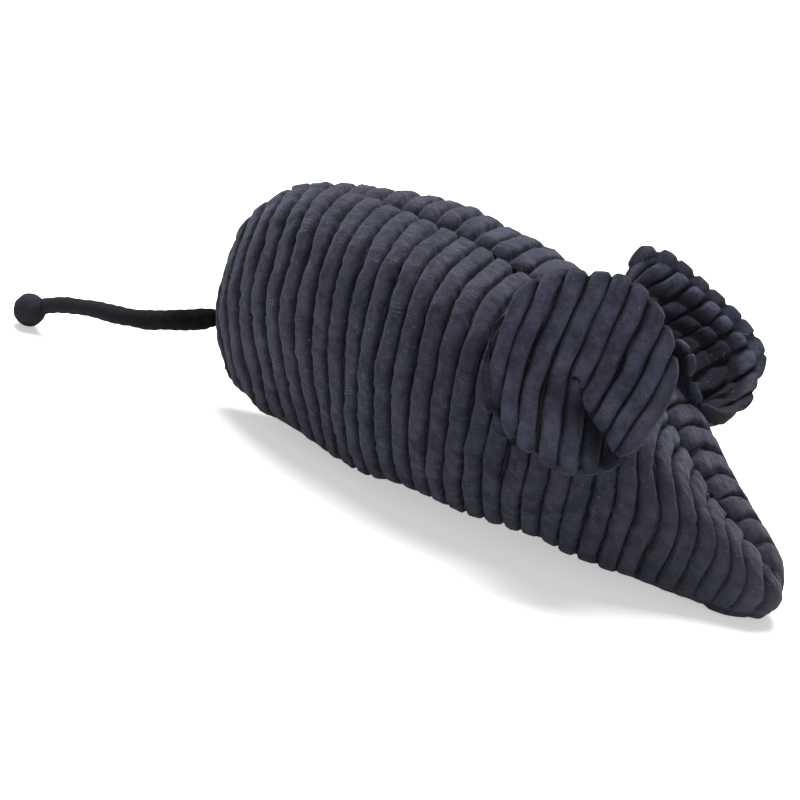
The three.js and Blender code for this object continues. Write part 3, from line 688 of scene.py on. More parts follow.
def guide(name, s):
    """A guide line's points on the mouse's left at shares s from tail to nose. Near the nose
    the widths close like a quarter of a circle."""
    along, out, high = GUIDES[name]
    past = np.clip((s - NOSE_ROUND) / (1 - NOSE_ROUND), 0, 1)
    closing = np.sqrt(1 - past * past)
    return np.stack([
        along_stations(along, s) * BODY_LENGTH - ORIGIN_ALONG,
        along_stations(out, s) * BODY_WIDTH / 2 * closing,
        along_stations(high, s) * BODY_HEIGHT,
    ], axis=-1)


def pointed_belly_seam(s):
    """The belly guide line, whose rear end is drawn together in the middle plane."""
    line = guide("belly", s)
    line[..., 1] *= smooth_step((s - BELLY_POINT) / BELLY_POINT_LENGTH)
    return line


def belly_sag(line, half):
    """How far the belly's middle hangs below its seam: nearly to the floor, and less where the
    belly's half width is small."""
    lowered = line[..., 2] - CREST + BELLY_RISE
    return lowered * np.minimum(1, half / (BELLY_SAG * BODY_WIDTH / 2))


def side_surface(s, t):
    """The side panel's mean surface on the mouse's left, t from 0 at the back seam over 1 at
    the side to 2 at the belly seam. Each half is the side line plus sine and cosine of the turn
    times the way to its guide line. Above the side line both are raised to the fullness."""
    spine, side, belly = guide("back", s), guide("side", s), pointed_belly_seam(s)
    turn = (t - np.floor(t)) * np.pi / 2
    sine, cosine = np.sin(turn), np.cos(turn)
    high, wide = np.abs(cosine) ** BACK_FULLNESS, np.abs(sine) ** BACK_FULLNESS
    lean = (spine[..., 0] - belly[..., 0]) / (spine[..., 2] - belly[..., 2])
    above = lean * (spine[..., 2] - side[..., 2])
    below = lean * (side[..., 2] - belly[..., 2]) + belly[..., 0] - side[..., 0]
    over = np.stack([
        side[..., 0] + (spine[..., 0] - side[..., 0]) * cosine + above * high * (1 - high) ** 2,
        side[..., 1] * wide,
        side[..., 2] + (spine[..., 2] - side[..., 2]) * high,
    ], axis=-1)
    under = np.stack([
        side[..., 0] + (belly[..., 0] - side[..., 0]) * sine - below * sine * (1 - sine) ** 2,
        belly[..., 1] + (side[..., 1] - belly[..., 1]) * cosine,
        side[..., 2] + (belly[..., 2] - side[..., 2]) * sine,
    ], axis=-1)
    return np.where((t < 1)[..., None], over, np.where((t < 2)[..., None], under, belly))


print("origin along the body in mm", round(1000 * ORIGIN_ALONG, 2))

# %% [markdown]
# ## Wales
# A wale is a broad, soft ridge with a dark groove on each side. Across one wale the height is
# flat on top and falls softly into the groove. The grooves wander a little along their length,
# wales differ in height, and each wale's end is rounded where the cloth turns into a seam. A
# displacement picture would do the same in the render only, and not in the mesh itself.

# %% Wale profile
# Places across one wale, crowded near its groove where the ridge is steep
ACROSS = np.array([0, 0.045, 0.1, 0.18, 0.3, 0.5, 0.7, 0.82, 0.9, 0.955])
WALE_SIDE = 0.42


def wale_height(phase, power=3.6):
    """0 in the groove at whole numbers, 1 on the crest. With off as the doubled distance from
    the crest, it is the mean of the square root of 1 - off**power, a full ridge, and of a
    smooth step up the ridge's side, which opens the groove softly."""
    off = np.abs(2 * (phase - np.floor(phase)) - 1)
    full = np.sqrt(np.maximum(1 - off**power, 0))
    return 0.5 * full + 0.5 * smooth_step((1 - off) / WALE_SIDE)


def rounded_end(distance, width):
    """0 at an edge, rising to 1 over a width like a quarter of a circle."""
    left = np.clip(1 - distance / width, 0, 1)
    return np.sqrt(1 - left * left)


def surface_normals(surface):
    """The outward unit normals of a grid of points on the mouse's left, by the cross product
    of its two mean differences."""
    return unit(np.cross(np.gradient(surface, axis=0), np.gradient(surface, axis=1)))


def arc_even(s_middle, count):
    """Values of t that are evenly apart along the side panel's line at one share s."""
    fine = np.linspace(0, 2, 2001)
    lengths = running_lengths(side_surface(np.full(fine.shape, s_middle), fine))
    return np.interp(np.linspace(0, lengths[-1], count), lengths, fine)


def wale_rows(offset):
    """Shares s of the rows: the places across each wale, and both ends."""
    wales = (np.arange(-1, WALES + 1)[:, None] + ACROSS).ravel()
    s = (wales + offset) / WALES
    s = s[(s > 0.0008) & (s < 0.9985)]
    return np.concatenate([[0], s, [1]])


print("wales on a side panel:", WALES, "and rows of points:", len(wale_rows(FIRST_GROOVE)))

# %% [markdown]
# ## Side panels
# Each panel is one grid: rows across the body, columns from the back seam round to the belly
# seam. The wales lift it along its normals, low dents make it hand-stuffed, and along the back
# seam and the rump it dives into a valley shared with the other panel. Towards the belly seam
# the pile is pressed flat, and on the rump and the nose the wales are lower.

# %% Side panel
SEAM_DEPTH, SEAM_WIDTH, RUMP_WIDTH = 0.0013, 0.0021, 0.0022
NOTCH_DEPTH, NOTCH_WIDTH = 0.0004, 0.0009
END_WIDTH = 0.0022
BELLY_FADE = 0.0042
FLATTENED = 0.0001
LEAST_CLOTH = 0.0004
BROAD_DENTS, SMALL_DENTS, FINE_DENTS = 0.00045, 0.00018, 0.00013
CENTIMETRE = 0.01


def side_panel(sign, offset, seed):
    """Points, faces and cloth vectors of a side panel. Sign -1 is the right one."""
    s_rows, t_columns = wale_rows(offset), arc_even(0.45, 118)
    t_columns[-1] = 2
    s, t = np.meshgrid(s_rows, t_columns, indexing="ij")
    mean = side_surface(s, t)
    normals = surface_normals(mean)
    steps = np.linalg.norm(np.diff(mean, axis=1), axis=2)
    from_back = np.concatenate([np.zeros((len(s_rows), 1)), np.cumsum(steps, axis=1)], axis=1)
    from_belly = from_back[:, -1:] - from_back
    from_ends = np.minimum(s, 1 - s)
    along, around = mean[..., 0] / CENTIMETRE, from_back / CENTIMETRE

    # Wales with wandering grooves, rounded ends and uneven heights
    phase = s * WALES - offset
    number = np.floor(phase)
    wander = (
        0.075 * ripples(around * 2.1, number * 2.3, seed)
        + 0.03 * ripples(around * 6, number * 3.1, seed + 1)
        + 0.03 * ripples(around * 17, number * 5.3, seed + 6)
    )
    height = wale_height(phase + wander * smooth_step(from_ends * 40))
    ends = rounded_end(from_back, END_WIDTH)
    rib = height * ends * (0.35 + 0.65 * smooth_step(from_ends * WALES / 1.1))
    taller = 1 + 0.12 * ripples(number * 1.7, around * 0.8, seed + 2)

    # Lower wales on the nose and the rump, and none at the belly seam
    rump_share = 1 - smooth_step((s - 0.01) / 0.13)
    relief = 1 - 0.4 * smooth_step((s - 0.78) / 0.17) - 0.6 * rump_share
    lift = 0.95 * CREST - (CREST + GROOVE) * (1 - rib * taller) * relief
    free = smooth_step(from_belly / BELLY_FADE)
    lift = FLATTENED + (lift - FLATTENED) * free

    # Dents of the stuffing, and the valleys at the seams
    dents = BROAD_DENTS * ripples(along * 1.5, around * 1.4, seed + 3)
    dents += SMALL_DENTS * ripples(along * 5, around * 5, seed + 4)
    dents += FINE_DENTS * ripples(phase * 7, around * 22, seed + 9)
    valley = SEAM_DEPTH * bell(from_back / SEAM_WIDTH)
    valley += NOTCH_DEPTH * bell(from_belly / NOTCH_WIDTH)
    valley = np.maximum(valley, SEAM_DEPTH * bell(s * BODY_LENGTH / RUMP_WIDTH))
    outer = mean + normals * (lift + dents - valley)[..., None]
    inner = mean - normals * (CLOTH + 0.5 * valley)[..., None]

    # Nothing crosses the middle plane or the floor
    for grid in (outer, inner):
        grid[..., 1] = np.maximum(grid[..., 1], 0)
        grid[[0, -1], :, 1] = 0
        grid[:, 0, 1] = 0
    outer[..., 2] = np.maximum(outer[..., 2], 0)
    inner[..., 2] = np.maximum(inner[..., 2], LEAST_CLOTH)
    outer[..., 1] *= sign
    inner[..., 1] *= sign

    # The cloth's shade: the wale's height as painted groove shade, evened out near the belly seam,
    # and paler on the rump, where the wales are low, as painted light
    shade = 0.6 + (rib - 0.6) * (0.45 + 0.55 * free)
    shade = shade + (0.8 - shade) * 0.6 * rump_share * ends
    return cloth_solid(outer, inner, np.stack([phase, around * 2.4, shade], axis=-1))


for name, node, sign, offset, seed in (
    ("side_panel_right_corduroy", "side_panel_right", -1, FIRST_GROOVE, 21),
    ("side_panel_left_corduroy", "side_panel_left", 1, FIRST_GROOVE + 0.45, 57),
):
    points, faces, cloth = side_panel(sign, offset, seed)
    panel = add_piece(name, points, faces, "mouse_body", [node], BODY_CLOTH, cloth)

# %% [markdown]
# ## Belly panel
# The belly is a long oval that sags to the floor and lies flat on its crests. Its edges follow
# the side panels' lower edges. There the seam presses the pile flat, so the wales fade out.

# %% Belly panel
BELLY_START, BELLY_END = 0.075, 0.998
SEAM_GAP, LEAST_HALF = 0.00015, 0.0001
FADE_START, FADE_WIDTH, MIDDLE_RELIEF = 0.001, 0.009, 0.75
BELLY_DENTS, BELLY_DENT_LENGTH = 0.00012, 0.0007
BELLY_PATCH = 0.004


def belly_panel(offset, seed):
    """Points, faces and cloth vectors: rows across the body, columns from the right seam over
    the middle to the left one. The height is the seam's less a sag: the sine of a quarter turn
    times the share of the way in from the edge raised to 0.7, so that the edge stands up like a
    pillow's."""
    s_rows = wale_rows(offset)
    s_rows = s_rows[(s_rows > BELLY_START) & (s_rows < BELLY_END)]
    s_rows = np.concatenate([[BELLY_START], s_rows, [BELLY_END]])
    s, v = np.meshgrid(s_rows, np.sin(np.linspace(-1, 1, 81) * np.pi / 2), indexing="ij")
    line = pointed_belly_seam(s)
    half = np.maximum(line[..., 1] - SEAM_GAP, LEAST_HALF)
    sag = belly_sag(line, half) * smooth_step((s - BELLY_POINT) / 0.15)
    mean = np.stack([
        line[..., 0], half * v,
        line[..., 2] - sag * np.sin(np.clip(1 - np.abs(v), 0, 1) ** 0.7 * np.pi / 2),
    ], axis=-1)
    normals = -surface_normals(mean)
    normals *= np.sign(-normals[..., 2:3] + 1e-9)

    # Wales that fade to the edge, a fine unevenness and the notch at the seam
    from_side = half * (1 - np.abs(v))
    from_tips = np.minimum(s - BELLY_START, BELLY_END - s) * BODY_LENGTH
    phase = s * WALES - offset
    around = v * half / BELLY_PATCH
    rib = wale_height(phase + 0.06 * ripples(around, np.floor(phase) * 2.3, seed))
    free = MIDDLE_RELIEF * smooth_step((from_side - FADE_START) / FADE_WIDTH)
    lift = FLATTENED + (rib * (CREST + GROOVE) - GROOVE - FLATTENED) * free
    lift += BELLY_DENTS * ripples(phase * 5, v * half / BELLY_DENT_LENGTH, seed + 2)
    valley = NOTCH_DEPTH * bell(np.minimum(from_side, from_tips) / NOTCH_WIDTH)
    outer = mean + normals * (lift - valley)[..., None]
    inner = mean - normals * (CLOTH + 0.5 * valley)[..., None]
    outer[..., 2] = np.maximum(outer[..., 2], 0)
    inner[..., 2] = np.maximum(inner[..., 2], outer[..., 2] + LEAST_CLOTH)
    # The cloth's shade: the wale's height as painted groove shade, evened out where the wales fade
    shade = 0.6 + (rib - 0.6) * (0.3 + 0.7 * free)
    return cloth_solid(outer, inner, np.stack([phase, around, shade], axis=-1))


points, faces, cloth = belly_panel(FIRST_GROOVE + 0.5, 73)
belly = add_piece(
    "belly_panel_corduroy", points, faces, "mouse_body", ["belly_panel"],
    BELLY_CLOTH, cloth,
)

# %% [markdown]
# ## Ears
# An ear is two rounds of corduroy sewn edge to edge and turned, then folded once at the root,
# which draws the flat round into a cup. In the cloth the wales are parallel. The fold takes out
# a wedge, so what is left is spread round the full turn, and the wales fan out to both sides of
# the fold. One lobe lies over the other along the fold.
#
# Each ear is a list of measures, in metres and degrees, that one recipe reads. Turns count from
# the ear's top, and heights are the way that the hollow faces.
#
# - middle, apex, across, top, facing: where the ear is, the cup's bottom in it, its directions
# - angles, radii: the rim's outline round the cup's bottom
# - fold, wedge, lap, dip: the fold's turn, the cloth it takes up, how far the lobe over it stands
#   up and the lobe under it lies down
# - lean, phase: the wales' direction in the cloth and their start
# - cup, cup_power, sink: the bowl's height 20 mm out, its curve and how deep its bottom is
# - root, draw: the place of the stitches, and how far they draw the cloth back, or if less
#   than 0 forward
# - peeks: turns at which the back layer shows past the rim, the cosines it spans and how far
# - scallop, creases, notch, open: the rim's waves, pressed lines beside it that are darkened with
#   painted shade, and the fold's corner cut short and its lips apart
# - hollow, deep: how dark the painted shade makes the cup's deepest place, and where
# - lip, curl, curl_at: a rolled-over rim, and a rim curled up at one turn
# - seed: for the ripples

# %% Ear measures and heights
EAR_PITCH, BACK_PHASE = 0.0041, 0.37
EAR_CLOTH_THICK, LEAST_THICK = 0.0017, 0.00005
EAR_CREST, EAR_GROOVE = 0.001, 0.0012
LAYER_GAP = 0.00012
HEM, FOLD_HEM = 0.0032, 0.0038
UNDERLAP, LOBE_RISE, LAP_WIDTH, DIP_WIDTH = 20.0, 0.0065, 0.0085, 0.0065
CUP_AT = 0.02
SOFT_WAVES, PUFF = 0.0009, 0.0006
ROOT_REACH, ROOT_WIDTH = 0.01, 0.008
ROLL_HALF, ROLL_FOOT = 0.0022, 0.0052
EAR_RIDGE = 2.3
# Turns of the rolled lip, and of the low rim's painted shade
ROLL_TURN, LOW_RIM_SHADE_TURN = 126.0, 100.0
BACK_INSET, BEAD_LEAST = -0.0012, 0.0008
CREASE_WIDTH, CREASE_WANDER, FOOT_WIDTH = 0.0012, 0.0011, 0.0009
CORNER_WIDTH, OPEN_WIDTH = 0.005, 0.006
FOLD_SCALLOP, FOLD_SCALLOP_WIDTH = 0.0016, 0.003
# Painted shade in the left ear's hollow: where it ends and fades, and its width under the lobe
# over the fold
HOLLOW_SHADE_EDGE, HOLLOW_SHADE_FADE, LOBE_SHADE_WIDTH = 0.027, 0.017, 0.004


def around_outline(angles, radii, turn):
    """A closed smooth outline: radii at angles in degrees, joined by a periodic cubic through
    them, read at any turn."""
    at = np.concatenate([angles - 360.0, angles, angles + 360.0])
    values = np.tile(radii, 3)
    return cubic_between(at, values, np.gradient(values, at), (turn + 180) % 360.0 - 180)


def towards(turn, degrees):
    """The cosine of the angle between each turn and one direction."""
    return np.cos(turn - np.radians(degrees))


def cup_height(ear, full, shares, slant, to_fold, past, across, along):
    """The height between the two layers: a bowl, lapped lobes at the fold, soft waves and a rim
    curled up at one turn, less a dimple where the root's stitches draw it back."""
    out = slant / CUP_AT
    bowl = ear["cup"] * out ** ear["cup_power"] - ear["sink"]
    lap = smooth_step(slant / LOBE_RISE) * (
        ear["lap"] * bell(to_fold / LAP_WIDTH) - ear["dip"] * bell(past / DIP_WIDTH)
    )
    wavy = SOFT_WAVES * out * ripples(full * 2, out * 2, ear["seed"])
    puff = PUFF * ripples(across * 0.8, along * 0.7, ear["seed"] + 1)
    curl = ear["curl"] * smooth_step((shares - 0.45) / 0.55) ** 2 * np.clip(
        towards(full, ear["curl_at"]), 0, 1
    )
    root = np.array(ear["root"])
    inwards = -root / np.linalg.norm(root)
    east, north = slant * np.sin(full) - root[0], slant * np.cos(full) - root[1]
    from_root = np.maximum(0, east * inwards[0] + north * inwards[1]) / ROOT_REACH
    beside = (east * inwards[1] - north * inwards[0]) / ROOT_WIDTH
    draw = ear["draw"] * np.exp(-(from_root**2) - beside**2)
    return bowl + lap + wavy + puff + curl - draw


def back_bead(peek, to_rim, rib):
    """How far the back layer is lifted where it shows past the rim: a half circle's height over
    a bead's width, lower in the grooves."""
    bead = 1.35 * np.maximum(peek, BEAD_LEAST)
    off = np.clip(1 - np.abs(to_rim - bead / 2) / (bead / 2), 0, 1)
    lifted = 0.42 * bead * np.sqrt(1 - (1 - off) ** 2) * (0.4 + 0.6 * rib)
    return lifted * smooth_step((peek - 0.0004) / 0.0008)


def ear_painted_shade(ear, shares, full, slant, shade, rib, rolled):
    """The front's painted shade: darker round the hollow's deepest place and along its low rim,
    and an even painted mid shade on the rolled lip."""
    east, north = slant * np.sin(full), slant * np.cos(full)
    from_deep = np.hypot(east - ear["deep"][0], north - ear["deep"][1])
    # Painted shade round the hollow's deepest place, less towards the rim
    hollow = ear["hollow"] * smooth_step((HOLLOW_SHADE_EDGE - from_deep) / HOLLOW_SHADE_FADE)
    hollow = hollow * (1 - 0.7 * smooth_step((shares - 0.72) / 0.25))
    shade = shade * (1 - hollow)
    shade = shade + (0.24 + 0.36 * rib - shade) * rolled
    if ear["hollow"]:
        # Painted shade along the low rim
        low_rim_shade = smooth_step((towards(full, LOW_RIM_SHADE_TURN) - 0.6) / 0.3)
        shade = shade * (1 - 0.6 * low_rim_shade * smooth_step((shares - 0.5) / 0.3))
    return shade


# %% Ear layers
def ear_layer(ear, face, seed):
    """Outer and inner grids of one layer and its cloth vectors: rows round the ear from the
    hidden lobe's edge to the fold's edge, columns from the cup's bottom to the rim. face is 1
    for the front, -1 for the back."""
    front = face > 0
    turn = np.linspace(ear["fold"] - 360 - UNDERLAP, ear["fold"], 400)
    turns, shares = np.meshgrid(turn, np.linspace(0, 1, 70) ** 0.9, indexing="ij")
    full = np.radians(turns)

    # The outline, the back's peeks past it, and distances from the cup's bottom and the edges
    outline = around_outline(ear["angles"], ear["radii"], turns)
    peek = 0.0 if front else np.max([
        np.interp(towards(full, at), span, [BACK_INSET, most]) for at, span, most in ear["peeks"]
    ], axis=0)
    before_fold = (ear["fold"] - turns) * np.pi / 180
    reach = outline + peek - ear["notch"] * bell(before_fold * outline / CORNER_WIDTH)
    slant = shares * reach
    to_rim, to_fold = reach - slant, before_fold * slant
    past = np.maximum((turns - turn[0]) * np.pi / 180 * slant - np.radians(UNDERLAP) * slant, 0)

    # Wales, parallel in the flat cloth
    cloth_turn = full * (360 - ear["wedge"]) / 360 - np.radians(ear["lean"])
    across = slant * np.sin(cloth_turn) / EAR_PITCH + ear["phase"] + (0 if front else BACK_PHASE)
    along = slant * np.cos(cloth_turn) / EAR_PITCH
    number = np.floor(across)
    wander = (
        0.08 * ripples(along * 0.9, number * 2.3, seed)
        + 0.04 * ripples(along * 3.5, number * 4.1, seed + 5)
    )
    rib = wale_height(across + wander, EAR_RIDGE)
    taller = 1 + 0.2 * ripples(number * 1.7, along * 1.3, seed + 3)
    thick = EAR_CLOTH_THICK - EAR_GROOVE + rib * (EAR_CREST + EAR_GROOVE) * taller

    # Hems at the rim and the fold, and the front's pressed lines and the foot of its roll: they
    # thin the cloth, and the same factor darkens its colour there as painted shade
    hem = rounded_end(np.maximum(to_rim, 0), HEM) * rounded_end(to_fold + 0.0003, FOLD_HEM)
    turned_over = np.minimum(ear["lip"] / 0.001, 1) * smooth_step(
        (towards(full, ROLL_TURN) - 0.45) / 0.3
    )
    if front:
        uneven = CREASE_WANDER * ripples(number * 2.9, 0 * number, seed + 7)
        for line_at, deep in ear["creases"]:
            hem = hem * (1 - deep * bell((to_rim - line_at + uneven) / CREASE_WIDTH))
        hem = hem * (1 - 0.85 * turned_over * bell((to_rim - ROLL_FOOT) / FOOT_WIDTH))

    # Heights of both faces, with the front's rolled lip or the back's bead past the rim
    middle = cup_height(ear, full, shares, slant, to_fold, past, across, along)
    rolled = np.sqrt(np.maximum(1 - ((to_rim - ROLL_HALF) / ROLL_HALF) ** 2, 0)) * turned_over
    lip = ear["lip"] * rolled * (0.8 + 0.2 * rib) if front else 0.0
    bead = 0.0 if front else back_bead(peek, to_rim, rib)
    outer = middle + face * (LAYER_GAP + np.maximum(thick * hem, LEAST_THICK) + lip)
    inner = middle + face * LAYER_GAP + bead

    # Places: the rim is scalloped by the wales, and the fold's lips stand open
    depth = ear["scallop"] * (1 - 0.4 * np.cos(full))
    scallop = depth * (rib - 0.75) * smooth_step((shares - 0.75) / 0.25) * (1 - turned_over)
    lobe = smooth_step(slant / LOBE_RISE)
    fold_scallop = FOLD_SCALLOP * (rib - 0.8) * bell(to_fold / FOLD_SCALLOP_WIDTH) * lobe
    opened = ear["open"] * smooth_step((slant - 0.006) / 0.01) * bell(to_fold / OPEN_WIDTH)
    radius = slant + scallop
    shifted = full + (fold_scallop - opened) / np.maximum(slant, 0.002)
    x = ear["apex"][0] + radius * np.sin(shifted)
    y = ear["apex"][1] + radius * np.cos(shifted)
    flat = ear["middle"] + x[..., None] * ear["across"] + y[..., None] * ear["top"]
    grids = [flat + z[..., None] * ear["facing"] for z in (outer, inner)]
    for grid in grids:
        grid[:, 0] = grid[:, 0].mean(axis=0)

    # The cloth's shade: the wale's height, darker at the hems and creases and under the lobe over
    # the fold, all painted shade
    shade = rib * hem * (1 - 0.75 * bell(past / LOBE_SHADE_WIDTH) * lobe)
    if front:
        shade = ear_painted_shade(ear, shares, full, slant, shade, rib, rolled)
    return *grids, np.stack([across, along, shade], axis=-1)


# %% Both ears
def ear_directions(facing, top):
    """Three unit vectors: across the ear, to its top, and the way that its hollow faces."""
    facing = unit(np.array(facing, float))
    across = unit(np.cross(np.array(top, float), facing))
    return {"across": across, "top": np.cross(facing, across), "facing": facing}


def body_share_point(along, out, high):
    """A point from shares of the body's length, half width and height."""
    return np.array([along * BODY_LENGTH - ORIGIN_ALONG, out * BODY_WIDTH / 2, high * BODY_HEIGHT])


OUTLINE_TURNS = np.arange(-160, 181, 20)
RIGHT_EAR = {
    **ear_directions([0.31, -0.87, 0.37], [-0.23, 0.31, 0.92]),
    "middle": body_share_point(0.659, -0.843, 0.836),
    "apex": (-0.0018, -0.0021),
    "angles": OUTLINE_TURNS,
    "radii": np.array([
        17.2, 17.4, 17.0, 16.6, 18.2, 19.2, 20.9, 21.6, 21.4,
        22.6, 22.0, 20.9, 20.2, 18.9, 18.4, 19.2, 19.3, 18.6,
    ]) / 1000,
    "fold": 150.0, "wedge": 34.0, "lap": 0.0024, "dip": 0.0036,
    "lean": 15.0, "phase": 0.35,
    "cup": 0.006, "cup_power": 1.45, "sink": 0.0013,
    "root": (0.0086, -0.0147), "draw": 0.0036,
    "peeks": [(-106.0, (0.62, 0.92), 0.0017)],
    "scallop": 0.002, "creases": [], "notch": 0.0016, "open": 0.0016,
    "hollow": 0.0, "deep": (0.0, 0.0),
    "lip": 0.0, "curl": 0.0, "curl_at": 0.0,
    "seed": 5,
}
LEFT_EAR = {
    **ear_directions([0.67, 0.02, 0.74], [0, 1, -0.03]),
    "middle": body_share_point(0.652, 1.08, 0.66),
    "apex": (0.001, 0.002),
    "angles": OUTLINE_TURNS,
    "radii": np.array([
        20.6, 19.6, 18.8, 18.8, 19.2, 19.3, 19.6, 20.9, 22.9,
        24.0, 23.3, 20.9, 18.2, 18.9, 21.0, 22.0, 22.0, 21.5,
    ]) / 1000,
    "fold": 190.0, "wedge": 30.0, "lap": 0.002, "dip": 0.003,
    "lean": 0.0, "phase": 0.2,
    "cup": 0.0088, "cup_power": 1.5, "sink": 0.0062,
    "root": (0.001, -0.0204), "draw": -0.005,
    "peeks": [(-28.0, (0.15, 0.6), 0.0026), (145.0, (0.8, 0.97), 0.0008)],
    "scallop": 0.0018, "creases": [(0.0046, 0.6), (0.0101, 0.5)], "notch": 0.0, "open": 0.0,
    "hollow": 0.95, "deep": (0.0085, 0.002),
    "lip": 0.0019, "curl": 0.003, "curl_at": 132.0,
    "seed": 9,
}

for name, ear in (("ear_right", RIGHT_EAR), ("ear_left", LEFT_EAR)):
    for part, face, seed in (("inner", 1, 31), ("outer", -1, 37)):
        outer, inner, cloth = ear_layer(ear, face, seed)
        points, faces, cloth = cloth_solid(outer, inner, cloth, inner_shade=0.8, pole=True)
        # The left ear's inside gets the shaded copy of the cloth, as painted shade
        layer = add_piece(
            f"{name}_{part}_corduroy", points, faces, name, [f"{name}_{part}"],
            LEFT_EAR_SHADED_CLOTH if ear["hollow"] and face > 0 else EAR_CLOTH, cloth,
        )

# %% [markdown]
# ## Filling
# Two wads of polyester fibre fill the body and meet at the pouch's middle. Each is the body's
# own shape drawn in by the cloth, with hollows where the pouch, its neck and the tail's anchor
# lie. A closed grid gives the shape, Booleans press the hollows in, a voxel remesh makes an
# even skin, and a tangle of ripples pulls tufts of fibre in from it. A plain solid would look
# like a block, and strands would be lost inside the cloth.

# %% Shapes inside the body
FIBRE_INSET, ROOM = CLOTH + 0.0006, 0.0003
POUCH_MIDDLE = np.array([0.5 * BODY_LENGTH - ORIGIN_ALONG, 0, 0.5 * BODY_HEIGHT])
POUCH_HALF, POUCH_RADIUS, POUCH_COTTON = 0.016, 0.008, 0.0008
NECK_LENGTH, NECK_RADIUS = 0.005, 0.002
NECK_X = POUCH_HALF + NECK_LENGTH
ANCHOR_MIDDLE = BEND + [ANCHOR_INSET, 0, 0]


def body_core(inset):
    """The whole body's mean surface drawn in along its normals: the left half's grid from the
    back seam to the middle of the belly, and its mirror image."""
    s, t = np.meshgrid(np.linspace(0.04, 0.95, 19), np.linspace(0, 2, 9), indexing="ij")
    line = guide("belly", s[:, 0])
    share = np.array([1 / 3, 2 / 3, 1])
    under = np.stack([
        np.repeat(line[:, :1], 3, axis=1),
        line[:, 1:2] * (1 - share),
        line[:, 2:3] - belly_sag(line, line[:, 1])[:, None] * np.sin(share * np.pi / 2),
    ], axis=-1)
    left = np.concatenate([side_surface(s, t), under], axis=1)
    left = left - surface_normals(left) * inset
    left[..., 1] = np.maximum(left[..., 1], 0.0002)
    left[[0, -1], :, 1] = 0
    left[:, [0, -1], 1] = 0
    right = left[:, -2:0:-1] * [1, -1, 1]
    ring = np.concatenate([left, right], axis=1)
    return ring.reshape(-1, 3), grid_faces(*ring.shape[:2], close_columns=True)


def turned(profile, sides, wave=None):
    """A closed turned shape round the pouch's axis, which lies along the body: a profile of
    distances from the axis and places along it, whose ends are on the axis."""
    turn = np.linspace(0, 2 * np.pi, sides, endpoint=False)
    reach, along = profile[1:-1, :1], profile[1:-1, 1:]
    if wave is not None:
        reach = reach * wave(turn[None], along)
    rings = np.stack([
        np.broadcast_to(along, (len(along), sides)), reach * np.sin(turn), reach * np.cos(turn)
    ], axis=-1)
    ends = np.array([[profile[0, 1], 0, 0], [profile[-1, 1], 0, 0]])
    points = np.concatenate([rings.reshape(-1, 3), ends])
    ring = np.arange(sides)
    return points, np.concatenate([
        grid_faces(len(along), sides, close_columns=True),
        fan(ring, len(points) - 2, flip=True),
        fan(ring + (len(along) - 1) * sides, len(points) - 1),
    ])


def pouch_profile(inset, neck, count=30):
    """Half an ellipse from the bottom to where it meets a neck's radius: the sine of the turn
    out from the axis, the cosine along it."""
    radius, half = POUCH_RADIUS - inset, POUCH_HALF - inset
    turn = np.linspace(0, np.pi - np.arcsin(neck / radius), count)
    return np.stack([radius * np.sin(turn), half * np.cos(turn)], axis=-1)


def box_shape(low, high):
    """The eight corners and six sides of a box."""
    corner = np.array([[x, y, z] for x in (0, 1) for y in (0, 1) for z in (0, 1)])
    faces = np.array([
        [0, 1, 3, 2], [4, 6, 7, 5], [0, 4, 5, 1], [2, 3, 7, 6], [0, 2, 6, 4], [1, 5, 7, 3]
    ])
    return np.array(low) + corner * (np.array(high) - np.array(low)), faces


def plain_tube(line, radius, sides):
    """A tube of one radius all along, for threads and rods."""
    return tube(line, lambda turns, shares: radius + 0 * turns, sides)[:2]


# %% Filling
POUCH_FACE = 0.00015
NECK_ROOM, ANCHOR_ROOM, CORD_ROOM = 0.0036, 0.0043, 0.0023
SKIN_VOXEL, TUFT_SIZE, TUFT_DEPTH, SKIN_INSET = 0.0011, 0.0022, 0.00022, 0.00025


def press_hollow(wad, points, faces):
    """Cuts a helper shape out of a wad with an exact Boolean, and returns the helper."""
    helper = add_object("hollow", plain_mesh("hollow", points, faces))
    cut = wad.modifiers.new("hollow", "BOOLEAN")
    cut.operation, cut.solver, cut.object = "DIFFERENCE", "EXACT", helper
    return helper


def fibre_skin(wad):
    """Points and quads of a wad's even skin, drawn in along its normals by about a quarter of a
    millimetre and by two crossed ripples, which make the tufts."""
    skin = wad.modifiers.new("skin", "REMESH")
    skin.mode, skin.voxel_size = "VOXEL", SKIN_VOXEL
    ready = wad.evaluated_get(bpy.context.evaluated_depsgraph_get())
    shape = bpy.data.meshes.new_from_object(ready)
    points, normals = np.empty((2, len(shape.vertices), 3))
    shape.vertices.foreach_get("co", points.ravel())
    shape.vertices.foreach_get("normal", normals.ravel())
    p = points / TUFT_SIZE
    tufts = ripples(p[:, 0] + p[:, 2], p[:, 1] - p[:, 2], 3) + ripples(p[:, 0], p[:, 2] * 2, 7)
    points -= normals * (SKIN_INSET + TUFT_DEPTH * np.clip(tufts, -1, 1.5))[:, None]
    return points, np.array([list(f.vertices) for f in shape.polygons if len(f.vertices) == 4])


